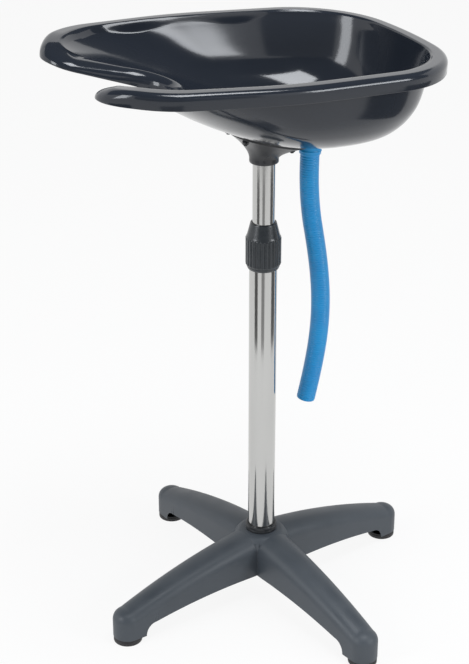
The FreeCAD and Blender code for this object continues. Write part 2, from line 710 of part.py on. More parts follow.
def under_arch():
    """The space below a leg: its arched underside and the step down to the foot boss."""
    wide = 2.0 * LEG_HALF_WIDTHS[0]
    below = -10.0
    plan = [(0, HUB_FOOT), (HUB_RADIUS, HUB_FOOT), ARCH_MIDDLE, ARCH_END, STEP_MIDDLE, (STEP_FOOT, BOSS_FOOT)]
    plan += [(STEP_FOOT, below), (0, below)]
    points = [Vector(station, -wide, height) for station, height in plan]
    edges = [
        Part.LineSegment(points[0], points[1]).toShape(),
        Part.Arc(points[1], points[2], points[3]).toShape(),
        Part.Arc(points[3], points[4], points[5]).toShape(),
        Part.LineSegment(points[5], points[6]).toShape(),
        Part.LineSegment(points[6], points[7]).toShape(),
        Part.LineSegment(points[7], points[0]).toShape(),
    ]
    return Part.Face(Part.Wire(edges)).extrude(Vector(0, 2.0 * wide, 0))


def leg():
    """One leg along +X: thin walls, cross ribs, and a solid boss bored for the foot's stem."""
    outer = leg_body(0.0, BOSS_FOOT).fuse(knuckle())
    hollow = leg_body(LEG_WALL, -5.0)
    reach = Part.makeBox(BOSS_START - HUB_CORE_RADIUS, 100, 120, Vector(HUB_CORE_RADIUS, -50, -10))
    hollow = hollow.common(reach)
    for station in LEG_RIB_STATIONS:
        hollow = hollow.cut(Part.makeBox(LEG_RIB, 100, 150, Vector(station, -50, -20)))
    body = outer.cut(under_arch()).cut(hollow)
    return body.cut(cylinder(STEM_RADIUS, 0.0, STEM_TOP, FOOT_CIRCLE))


def leg_angles():
    """The legs' directions in degrees."""
    return [LEG_AZIMUTH + 360.0 * k / LEG_COUNT for k in range(LEG_COUNT)]


def base_spider():
    """The hub and four legs as one moulding, with corner ribs in the hub and grooves between the legs."""
    profile = [(0, HUB_FOOT), (HUB_RADIUS, HUB_FOOT), (HUB_RADIUS, HUB_SHOULDER), (HUB_RADIUS - 6.0, HUB_TOP - 1.0)]
    profile += [(HUB_RING_RADIUS + 1.0, HUB_TOP), (0, HUB_TOP)]
    spider = revolve(profile)
    core = ring(HUB_RADIUS - LEG_WALL, HUB_CORE_RADIUS, HUB_FOOT - 1.0, HUB_SHOULDER - 6.0)
    for angle in leg_angles():
        rib = Part.makeBox(HUB_RADIUS, LEG_RIB, HUB_TOP, Vector(0, -LEG_RIB / 2.0, 0))
        core = core.cut(turned(rib, angle + 45.0))
    legs = leg()
    for angle in leg_angles():
        spider = spider.fuse(turned(legs, angle))
    spider = spider.cut(core)
    for angle in leg_angles():
        groove = Part.makeBox(2.0 * GROOVE_DEPTH, GROOVE_WIDTH, HUB_TOP - HUB_FOOT - 10.0)
        groove.translate(Vector(HUB_RADIUS - GROOVE_DEPTH, -GROOVE_WIDTH / 2.0, HUB_FOOT - 1.0))
        spider = spider.cut(turned(groove, angle + 45.0))
    spider = spider.cut(cylinder(HUB_RING_RADIUS + CLEARANCE, HUB_TOP, HUB_TOP + 20.0))
    spider = spider.cut(cylinder(LOWER_TUBE_RADIUS, HUB_FLOOR, HUB_TOP + 20.0))
    return spider.cut(cylinder(BOLT_RADIUS, HUB_FOOT - 1.0, HUB_FLOOR + 1.0))


def glide_stem():
    """A steel stem with the round head that is moulded into the glide."""
    low, high = STEM_HEAD
    top = STEM_TOP
    profile = [(0, low), (STEM_HEAD_RADIUS, low), (STEM_HEAD_RADIUS, high), (STEM_RADIUS, high)]
    profile += [(STEM_RADIUS, top - 1.0), (STEM_RADIUS - 1.0, top), (0, top)]
    return revolve(profile, FOOT_CIRCLE)


def floor_glide():
    """A round plastic foot with softened edges, moulded round its stem's head."""
    radius = GLIDE_RADIUS
    profile = [(0, 0), (radius - 1.5, 0), (radius, 1.5), (radius, BOSS_FOOT - 2.0), (radius - 1.0, BOSS_FOOT)]
    profile += [(0, BOSS_FOOT)]
    return revolve(profile, FOOT_CIRCLE).cut(glide_stem())


# ---------------------------------------------------------------- column
def tube_anchor():
    """The threaded plug pressed into the lower tube's foot."""
    return ring(LOWER_TUBE_RADIUS - TUBE_WALL, BOLT_RADIUS, HUB_FLOOR, ANCHOR_TOP)


def column_bolt():
    """The hexagon bolt that pulls the lower tube into the hub from below."""
    head = HUB_FOOT - WASHER_THICKNESS
    bolt = hexagon(BOLT_ACROSS_FLATS, head - BOLT_HEAD_HEIGHT, head)
    return bolt.fuse(cylinder(BOLT_RADIUS, head, BOLT_TOP))


def hub_ring():
    """The trim ring that closes the gap between hub and tube."""
    tube = LOWER_TUBE_RADIUS
    profile = [(tube, HUB_TOP), (HUB_RING_RADIUS, HUB_TOP), (HUB_RING_RADIUS, HUB_RING_TOP - 2.0)]
    profile += [(HUB_RING_RADIUS - 1.5, HUB_RING_TOP), (tube, HUB_RING_TOP)]
    return revolve(profile)


def upper_tube_bush():
    """The flanged bush that carries the upper tube's foot and runs inside the lower tube."""
    outer = LOWER_TUBE_RADIUS - TUBE_WALL - RUNNING_GAP
    inner = UPPER_TUBE_RADIUS + RUNNING_GAP
    step = UPPER_TUBE_FOOT - RUNNING_GAP
    profile = [(inner - 3.5, BUSH_FOOT), (outer - 0.8, BUSH_FOOT), (outer, BUSH_FOOT + 0.8), (outer, BUSH_TOP - 0.8)]
    profile += [(outer - 0.8, BUSH_TOP), (inner, BUSH_TOP), (inner, step), (inner - 3.5, step)]
    return revolve(profile)


# ---------------------------------------------------------------- collar
def collar_body():
    """The fixed sleeve on the lower tube's top: a chamfered flange below and the thread's core above."""
    tube = LOWER_TUBE_RADIUS
    profile = [(tube, COLLAR_FOOT), (tube + 2.0, COLLAR_FOOT), (COLLAR_RADIUS, COLLAR_FOOT + 7.0)]
    profile += [(COLLAR_RADIUS, COLLAR_SEAT), (COLLAR_SLEEVE_RADIUS, COLLAR_SEAT)]
    profile += [(COLLAR_SLEEVE_RADIUS, LOWER_TUBE_TOP), (tube, LOWER_TUBE_TOP)]
    return revolve(profile)


def collar_collet():
    """The slotted gripping ring round the upper tube, seated on the lower tube's top."""
    inner = UPPER_TUBE_RADIUS + RUNNING_GAP
    profile = [(inner, LOWER_TUBE_TOP), (LOWER_TUBE_RADIUS, LOWER_TUBE_TOP), (LOWER_TUBE_RADIUS, LOWER_TUBE_TOP + 6.0)]
    profile += [(COLLAR_MOUTH_RADIUS - 1.6, COLLET_TOP), (inner, COLLET_TOP)]
    collet = revolve(profile)
    for k in range(COLLET_SLOTS):
        corner = Vector(0, -COLLET_SLOT / 2.0, LOWER_TUBE_TOP + 5.0)
        slot = Part.makeBox(LOWER_TUBE_RADIUS + 5.0, COLLET_SLOT, COLLET_TOP, corner)
        collet = collet.cut(turned(slot, 360.0 * k / COLLET_SLOTS))
    return collet


def collar_nut():
    """The ribbed twist grip with a conical nose that squeezes the collet as it turns."""
    sleeve = COLLAR_SLEEVE_RADIUS + RUNNING_GAP
    groove = COLLAR_RADIUS - GRIP_RIB_RADIUS / 2.0
    nose = COLLAR_MOUTH_RADIUS
    profile = [(sleeve, NUT_FOOT), (COLLAR_RADIUS - 1.0, NUT_FOOT), (groove, NUT_FOOT + 1.5), (groove, GRIP_TOP)]
    profile += [(groove - 1.2, GRIP_TOP + 1.5), (nose, COLLAR_TOP)]
    profile += [(UPPER_TUBE_RADIUS + CLEARANCE, COLLAR_TOP), (UPPER_TUBE_RADIUS + CLEARANCE, COLLET_TOP + 0.5)]
    profile += [(nose - 1.2, COLLET_TOP + 0.5), (LOWER_TUBE_RADIUS + 0.5, LOWER_TUBE_TOP + 6.0)]
    profile += [(LOWER_TUBE_RADIUS + 0.5, LOWER_TUBE_TOP + 2.0), (sleeve, LOWER_TUBE_TOP)]
    nut = revolve(profile)
    for k in range(GRIP_RIBS):
        angle = 2.0 * math.pi * k / GRIP_RIBS
        x = (COLLAR_RADIUS - GRIP_RIB_RADIUS) * math.cos(angle)
        y = (COLLAR_RADIUS - GRIP_RIB_RADIUS) * math.sin(angle)
        nut = nut.fuse(cylinder(GRIP_RIB_RADIUS, NUT_FOOT + 2.0, GRIP_TOP - 0.5, x, y))
    return nut.cut(cylinder(sleeve, NUT_FOOT - 1.0, LOWER_TUBE_TOP - 1.0))


# ---------------------------------------------------------------- build
def build():
    """Builds every node and writes it."""
    bowl = bowl_solid(0.0)
    export("base_spider", base_spider())
    for k, angle in enumerate(leg_angles(), 1):
        export("floor_glide_%d" % k, turned(floor_glide(), angle))
        export("glide_stem_%d" % k, turned(glide_stem(), angle))
    export("hub_ring", hub_ring())
    export("lower_tube", ring(LOWER_TUBE_RADIUS, LOWER_TUBE_RADIUS - TUBE_WALL, HUB_FLOOR, LOWER_TUBE_TOP))
    export("tube_anchor", tube_anchor())
    export("column_bolt", column_bolt())
    export("column_washer", ring(WASHER_RADIUS, BOLT_RADIUS, HUB_FOOT - WASHER_THICKNESS, HUB_FOOT))
    export("collar_body", collar_body())
    export("collar_collet", collar_collet())
    export("collar_nut", collar_nut())
    export("upper_tube_bush", upper_tube_bush())
    export("upper_tube", ring(UPPER_TUBE_RADIUS, UPPER_TUBE_RADIUS - TUBE_WALL, UPPER_TUBE_FOOT, UPPER_TUBE_TOP))
    export("mount_bracket", mount_bracket(bowl))
    export("bracket_screws", bracket_screws(bowl))
    export("basin_shell", in_basin(basin_shell(bowl)))
    export("drain_strainer", in_basin(drain_strainer()))
    export("strainer_screw", in_basin(strainer_screw()))
    gasket = ring(GASKET_RADIUS, TAIL_BORE, tail_top, drain_under, DRAIN_U)
    export("drain_gasket", in_basin(gasket))
    export("drain_tailpiece", in_basin(drain_tailpiece()))
    export("hose_cuff", in_basin(hose_cuff()))
    export("drain_hose", drain_hose())


build()
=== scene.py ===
"""Visual model of a free-standing pet bathtub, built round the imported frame.

A glossy basin with a rolled lip and a dipped neck notch stands on a chrome telescoping column with a twist-lock
collar and a four-leg base; a blue corrugated hose hangs from its drain. Sizes are metres in the row frame.
"""

import logging
import math
from dataclasses import dataclass
from enum import Enum

import bmesh
import bpy
import numpy as np
from mathutils import Matrix, Vector


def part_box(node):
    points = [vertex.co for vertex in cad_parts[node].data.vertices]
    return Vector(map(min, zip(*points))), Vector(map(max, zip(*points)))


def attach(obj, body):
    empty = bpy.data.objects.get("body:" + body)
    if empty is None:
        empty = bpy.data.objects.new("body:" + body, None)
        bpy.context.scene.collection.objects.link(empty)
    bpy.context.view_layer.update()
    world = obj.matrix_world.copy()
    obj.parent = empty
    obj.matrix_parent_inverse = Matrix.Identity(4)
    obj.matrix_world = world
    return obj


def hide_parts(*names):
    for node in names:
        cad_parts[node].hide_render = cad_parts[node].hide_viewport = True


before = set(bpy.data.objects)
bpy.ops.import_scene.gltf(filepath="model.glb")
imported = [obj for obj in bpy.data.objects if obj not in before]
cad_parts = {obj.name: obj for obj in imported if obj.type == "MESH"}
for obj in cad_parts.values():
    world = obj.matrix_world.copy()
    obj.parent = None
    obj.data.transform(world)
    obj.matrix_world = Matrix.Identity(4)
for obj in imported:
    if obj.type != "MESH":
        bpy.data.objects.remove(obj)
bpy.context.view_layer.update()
MM = 0.001
log = logging.getLogger("pet_bathtub")
Array = np.ndarray


def full_turn(count: int) -> Array:
    """Evenly spaced angles round a full turn."""
    return np.arange(count) * 2.0 * math.pi / count


# ---------------------------------------------------------------- frame measures
def node_box(name: str) -> tuple[Array, Array]:
    """Lowest and highest corner of a CAD node as arrays."""
    low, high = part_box(name)
    return np.array(low), np.array(high)


def node_radius(name: str) -> float:
    """Half the width across Y of a turned CAD node."""
    low, high = node_box(name)
    return float(high[1] - low[1]) / 2.0


COLUMN_X = float(sum(corner[0] for corner in node_box("lower_tube")) / 2.0)


def placed(name: str, data: bpy.types.ID | None) -> bpy.types.Object:
    """A new object at the origin, linked to the scene.

    Args:
        name: the object's name.
        data: its mesh, curve, light or camera.

    Returns:
        The new object.
    """
    made = bpy.data.objects.new(name, data)
    bpy.context.scene.collection.objects.link(made)
    return made


# ---------------------------------------------------------------- numpy surface kit
def slopes(knots: Array, values: Array) -> Array:
    """Monotone cubic slopes: the harmonic mean of neighbouring secants where they agree in sign, else zero.

    Args:
        knots: rising parameters.
        values: one row per knot.

    Returns:
        A slope for each knot and column.
    """
    step = np.diff(knots)[:, None]
    secant = np.diff(values, axis=0) / step
    same = secant[:-1] * secant[1:] > 0.0
    mean = np.where(same, 2.0 * secant[:-1] * secant[1:] / np.where(same, secant[:-1] + secant[1:], 1.0), 0.0)
    return np.concatenate([secant[:1], mean, secant[-1:]])


def eased(knots: Array, values: Array, at: Array) -> Array:
    """Monotone cubic through a table: Hermite pieces with the slopes above, for every column at once.

    Args:
        knots: rising parameters, one per row of the table.
        values: the table, one column per quantity.
        at: parameters to read it at.

    Returns:
        One row per parameter.
    """
    tangent = slopes(knots, values)
    k = np.clip(np.searchsorted(knots, at, side="right") - 1, 0, len(knots) - 2)
    width = (knots[k + 1] - knots[k])[:, None]
    t = ((at - knots[k])[:, None]) / width
    start = (1.0 + 2.0 * t) * (1.0 - t) ** 2 * values[k] + t * (1.0 - t) ** 2 * width * tangent[k]
    end = t * t * (3.0 - 2.0 * t) * values[k + 1] + t * t * (t - 1.0) * width * tangent[k + 1]
    return start + end


def rounded(corners: Array, reach: float | Array, steps: int = 5) -> Array:
    """Rounds a closed polyline: each corner c becomes the parabola (1-t)^2 a + 2t(1-t) c + t^2 b.

    Args:
        corners: (n, 2) corner points.
        reach: distance from the corner to the ends a and b, cut to 45% of the shorter run.
        steps: points on each parabola.

    Returns:
        The rounded points in order.
    """
    before = np.roll(corners, 1, axis=0) - corners
    after = np.roll(corners, -1, axis=0) - corners
    length_before = np.linalg.norm(before, axis=1)
    length_after = np.linalg.norm(after, axis=1)
    cut = np.minimum(np.broadcast_to(reach, len(corners)), 0.45 * np.minimum(length_before, length_after))
    first = corners + before * (cut / length_before)[:, None]
    last = corners + after * (cut / length_after)[:, None]
    t = np.linspace(0.0, 1.0, steps)[None, :, None]
    curve = (1.0 - t) ** 2 * first[:, None] + 2.0 * t * (1.0 - t) * corners[:, None] + t**2 * last[:, None]
    return curve.reshape(-1, 2)


def lathe(profile: Array, sides: int = 96, x: float = 0.0, y: float = 0.0) -> Array:
    """A surface of revolution: (r cos t, r sin t, z) for each profile point and each angle t.

    Args:
        profile: (m, 2) radii and heights.
        sides: number of angles.
        x: axis place along X.
        y: axis place along Y.

    Returns:
        A (sides, m, 3) grid that wraps round its first index.
    """
    angle = full_turn(sides)
    radius, height = profile[:, 0], profile[:, 1]
    grid = np.empty((sides, len(profile), 3))
    grid[:, :, 0] = x + np.cos(angle)[:, None] * radius
    grid[:, :, 1] = y + np.sin(angle)[:, None] * radius
    grid[:, :, 2] = height
    return grid


def quads(rows: int, columns: int, wrap_rows: bool, wrap_columns: bool) -> Array:
    """Corner numbers of a grid's quads, wrapping where asked.

    Args:
        rows: points along the first index.
        columns: points along the second.
        wrap_rows: whether the last row joins the first.
        wrap_columns: whether the last column joins the first.

    Returns:
        One row of four numbers per face.
    """
    i = np.arange(rows if wrap_rows else rows - 1)
    j = np.arange(columns if wrap_columns else columns - 1)
    i, j = (index.ravel() for index in np.meshgrid(i, j, indexing="ij"))
    on, up = (i + 1) % rows, (j + 1) % columns
    return np.stack([i * columns + j, on * columns + j, on * columns + up, i * columns + up], axis=1)


@dataclass
class Patch:
    """One grid of points and the ways in which it closes on itself."""

    points: Array
    wrap_rows: bool = False
    wrap_columns: bool = False


def mesh_of(name: str, patches: list[Patch], sharp: float = 40.0, weld: float = 2e-5) -> bpy.types.Object:
    """Puts grids into one smooth-shaded object, welded where they meet, with normals turned outwards.

    Args:
        name: the object's name.
        patches: its grids.
        sharp: edges bent by more than this many degrees stay crisp.
        weld: points nearer than this become one.

    Returns:
        The new object, linked to the scene.
    """
    points, faces, start = [], [], 0
    for patch in patches:
        rows, columns = patch.points.shape[:2]
        points.append(patch.points.reshape(-1, 3))
        faces.append(quads(rows, columns, patch.wrap_rows, patch.wrap_columns) + start)
        start += rows * columns
    mesh = bpy.data.meshes.new(name)
    mesh.from_pydata(np.concatenate(points).tolist(), [], np.concatenate(faces).tolist())
    clean(mesh, weld)
    finish_shading(mesh, sharp)
    return placed(name, mesh)


def clean(mesh: bpy.types.Mesh, weld: float) -> None:
    """Welds near points, drops collapsed faces and turns the normals outwards.

    Args:
        mesh: the mesh to mend in place.
        weld: points nearer than this become one.
    """
    work = bmesh.new()
    work.from_mesh(mesh)
    bmesh.ops.remove_doubles(work, verts=work.verts, dist=weld)
    bmesh.ops.dissolve_degenerate(work, edges=work.edges, dist=weld / 10.0)
    bmesh.ops.recalc_face_normals(work, faces=work.faces)
    work.to_mesh(mesh)
    work.free()


def finish_shading(mesh: bpy.types.Mesh, sharp: float) -> None:
    """Smooth shading with crisp edges past an angle in degrees.

    Args:
        mesh: the mesh to shade in place.
        sharp: the angle past which an edge is crisp.
    """
    mesh.polygons.foreach_set("use_smooth", np.ones(len(mesh.polygons), bool))
    mesh.set_sharp_from_angle(angle=math.radians(sharp))
    mesh.update()


def solid_copy(node: str, name: str, sharp: float = 30.0) -> bpy.types.Object:
    """A welded, smooth-shaded copy of a CAD node's solid.

    Args:
        node: the CAD node.
        name: the copy's name.
        sharp: edges bent by more than this many degrees stay crisp.

    Returns:
        The new object.
    """
    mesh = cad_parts[node].data.copy()
    mesh.name = name
    clean(mesh, 1e-6)
    finish_shading(mesh, sharp)
    return placed(name, mesh)


# ---------------------------------------------------------------- finishes
class Body(Enum):
    """The rigid bodies that pieces ride on."""

    BASE = "base"
    COLLAR = "collar"
    GUIDE = "guide"
    BASIN = "basin"


@dataclass(frozen=True)
class Finish:
    """A procedural surface: colour, gloss, and noise that varies both, with a fine bump.

    Attributes:
        name: material name.
        slot: the record's material slot.
        colour: linear base colour.
        second: colour that the large noise mixes in.
        mix: how much of the second colour shows at most.
        roughness: lowest and highest roughness.
        metallic: 1 for bare metal.
        patch: large noise scale per metre.
        grain: fine noise scale per metre.
        bump: bump strength of the fine noise.
        bump_depth: bump distance in metres.
        stretch: scaling of the noise space along X, Y and Z.
        coat: clear coat weight.
        coat_roughness: its roughness.
    """

    name: str
    slot: str
    colour: tuple[float, float, float]
    second: tuple[float, float, float]
    mix: float = 0.5
    roughness: tuple[float, float] = (0.3, 0.45)
    metallic: float = 0.0
    patch: float = 18.0
    grain: float = 900.0
    bump: float = 0.15
    bump_depth: float = 0.0002
    stretch: tuple[float, float, float] = (1.0, 1.0, 1.0)
    coat: float = 0.0
    coat_roughness: float = 0.05

    def build(self) -> bpy.types.Material:
        """Makes the material's nodes.

        Returns:
            The material, ready for a piece.
        """
        material = bpy.data.materials.new(self.name)
        material.use_nodes = True
        nodes, links = material.node_tree.nodes, material.node_tree.links
        shader = nodes["Principled BSDF"]
        shader.inputs["Metallic"].default_value = self.metallic
        shader.inputs["Coat Weight"].default_value = self.coat
        shader.inputs["Coat Roughness"].default_value = self.coat_roughness
        place = nodes.new("ShaderNodeTexCoord")
        mapping = nodes.new("ShaderNodeMapping")
        mapping.inputs["Scale"].default_value = self.stretch
        links.new(place.outputs["Object"], mapping.inputs["Vector"])
        large = self.noise(material, mapping, self.patch, 3.0)
        fine = self.noise(material, mapping, self.grain, 2.0)
        blend = nodes.new("ShaderNodeMix")
        blend.data_type = "RGBA"
        blend.inputs["A"].default_value = (*self.colour, 1.0)
        blend.inputs["B"].default_value = (*self.second, 1.0)
        links.new(self.span(material, large, 0.0, self.mix).outputs["Result"], blend.inputs["Factor"])
        links.new(blend.outputs["Result"], shader.inputs["Base Color"])
        gloss = self.span(material, large, *self.roughness)
        links.new(gloss.outputs["Result"], shader.inputs["Roughness"])
        relief = nodes.new("ShaderNodeBump")
        relief.inputs["Strength"].default_value = self.bump
        relief.inputs["Distance"].default_value = self.bump_depth
        links.new(fine.outputs["Fac"], relief.inputs["Height"])
        links.new(relief.outputs["Normal"], shader.inputs["Normal"])
        return material

    @staticmethod
    def noise(material: bpy.types.Material, mapping: bpy.types.Node, scale: float, detail: float) -> bpy.types.Node:
        """A noise texture in the mapped object space.

        Args:
            material: the material to add it to.
            mapping: the node that gives its space.
            scale: its scale per metre.
            detail: its octaves.

        Returns:
            The texture's node.
        """
        texture = material.node_tree.nodes.new("ShaderNodeTexNoise")
        texture.inputs["Scale"].default_value = scale
        texture.inputs["Detail"].default_value = detail
        material.node_tree.links.new(mapping.outputs["Vector"], texture.inputs["Vector"])
        return texture

    @staticmethod
    def span(material: bpy.types.Material, source: bpy.types.Node, low: float, high: float) -> bpy.types.Node:
        """Spreads a noise's middle range over low to high.

        Args:
            material: the material to add it to.
            source: the noise.
            low: the result at the noise's 0.3.
            high: the result at its 0.7.

        Returns:
            The node whose result is spread.
        """
        spread = material.node_tree.nodes.new("ShaderNodeMapRange")
        spread.inputs["From Min"].default_value = 0.3
        spread.inputs["From Max"].default_value = 0.7
        spread.inputs["To Min"].default_value = low
        spread.inputs["To Max"].default_value = high
        material.node_tree.links.new(source.outputs["Fac"], spread.inputs["Value"])
        return spread


GLOSS_ABS = Finish(
    "gloss_abs", "basin_gloss", (0.015, 0.019, 0.027), (0.019, 0.024, 0.034), 0.6, (0.09, 0.15),
    patch=9.0, grain=260.0, bump=0.03, bump_depth=0.0004,
)
NYLON = Finish(
    "moulded_nylon", "base_plastic", (0.052, 0.063, 0.076), (0.072, 0.084, 0.098), 0.8, (0.40, 0.55),
    patch=22.0, grain=1500.0, bump=0.22, bump_depth=0.0002,
)
CHROME = Finish(
    "polished_chrome", "chrome_tube", (0.56, 0.56, 0.55), (0.50, 0.50, 0.49), 0.7, (0.11, 0.19),
    metallic=1.0, patch=30.0, grain=500.0, bump=0.02, bump_depth=0.0002, stretch=(1.0, 1.0, 0.12),
)
COLLAR_PLASTIC = Finish(
    "collar_plastic", "collar_plastic", (0.022, 0.027, 0.032), (0.032, 0.037, 0.042), 0.7, (0.22, 0.34),
    patch=60.0, grain=1600.0, bump=0.12, bump_depth=0.0001,
)
BLACK_PAINT = Finish(
    "black_powder_coat", "bracket_paint", (0.016, 0.017, 0.020), (0.026, 0.028, 0.031), 0.7, (0.25, 0.4),
    patch=40.0, grain=1100.0, bump=0.25, bump_depth=0.0002,
)
RING_PLASTIC = Finish(
    "ring_plastic", "ring_plastic", (0.016, 0.018, 0.021), (0.026, 0.028, 0.031), 0.7, (0.3, 0.45),
    patch=60.0, grain=1500.0, bump=0.15,
)
GLIDE_PLASTIC = Finish(
    "glide_plastic", "glide_plastic", (0.012, 0.012, 0.014), (0.035, 0.035, 0.037), 0.6, (0.45, 0.65),
    patch=70.0, grain=1300.0, bump=0.3,
)
ZINC = Finish(
    "zinc_plate", "zinc_steel", (0.50, 0.52, 0.53), (0.62, 0.60, 0.55), 0.6, (0.25, 0.42),
    metallic=1.0, patch=90.0, grain=1800.0, bump=0.1,
)
STAINLESS = Finish(
    "satin_stainless", "stainless", (0.60, 0.61, 0.62), (0.54, 0.55, 0.56), 0.7, (0.22, 0.36),
    metallic=1.0, patch=80.0, grain=1400.0, bump=0.08,
)
ACETAL = Finish(
    "natural_acetal", "bush_plastic", (0.62, 0.62, 0.58), (0.55, 0.54, 0.50), 0.6, (0.35, 0.5),
    patch=60.0, grain=1300.0, bump=0.1,
)
DRAIN_BLACK = Finish(
    "drain_polypropylene", "drain_plastic", (0.03, 0.03, 0.033), (0.05, 0.05, 0.053), 0.7, (0.35, 0.5),
    patch=70.0, grain=1400.0, bump=0.15,
)
SEAL_RUBBER = Finish(
    "seal_rubber", "gasket_rubber", (0.02, 0.02, 0.02), (0.04, 0.04, 0.04), 0.7, (0.6, 0.8),
    patch=90.0, grain=1800.0, bump=0.3,
)
HOSE_BLUE = Finish(
    "blue_vinyl", "hose_blue", (0.0, 0.25, 0.60), (0.0, 0.31, 0.68), 0.8, (0.36, 0.48),
    patch=35.0, grain=1200.0, bump=0.08, coat=0.15,
)
ALL_FINISHES = (
    GLOSS_ABS, NYLON, CHROME, COLLAR_PLASTIC, BLACK_PAINT, RING_PLASTIC, GLIDE_PLASTIC,
    ZINC, STAINLESS, ACETAL, DRAIN_BLACK, SEAL_RUBBER, HOSE_BLUE,
)
MATERIALS = {finish.slot: finish.build() for finish in ALL_FINISHES}


def dress(piece: bpy.types.Object, finish: Finish, body: Body, *replaced: str) -> bpy.types.Object:
    """Gives a piece its finish, its body and the CAD nodes that it stands for.

    Args:
        piece: the finished object, at the origin.
        finish: its surface.
        body: the rigid body that it rides on.
        replaced: CAD nodes that it hides.

    Returns:
        The same object.
    """
    piece.data.materials.clear()
    piece.data.materials.append(MATERIALS[finish.slot])
    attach(piece, body.value)
    if replaced:
        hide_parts(*replaced)
    log.info("%s: %d faces on %s", piece.name, len(piece.data.polygons), body.value)
    return piece


def shell(name: str, grid: Array, finish: Finish, body: Body, node: str, sharp: float = 40.0) -> bpy.types.Object:
    """A dressed piece from one grid that closes both ways, in place of a CAD node."""
    return dress(mesh_of(name, [Patch(grid, True, True)], sharp), finish, body, node)


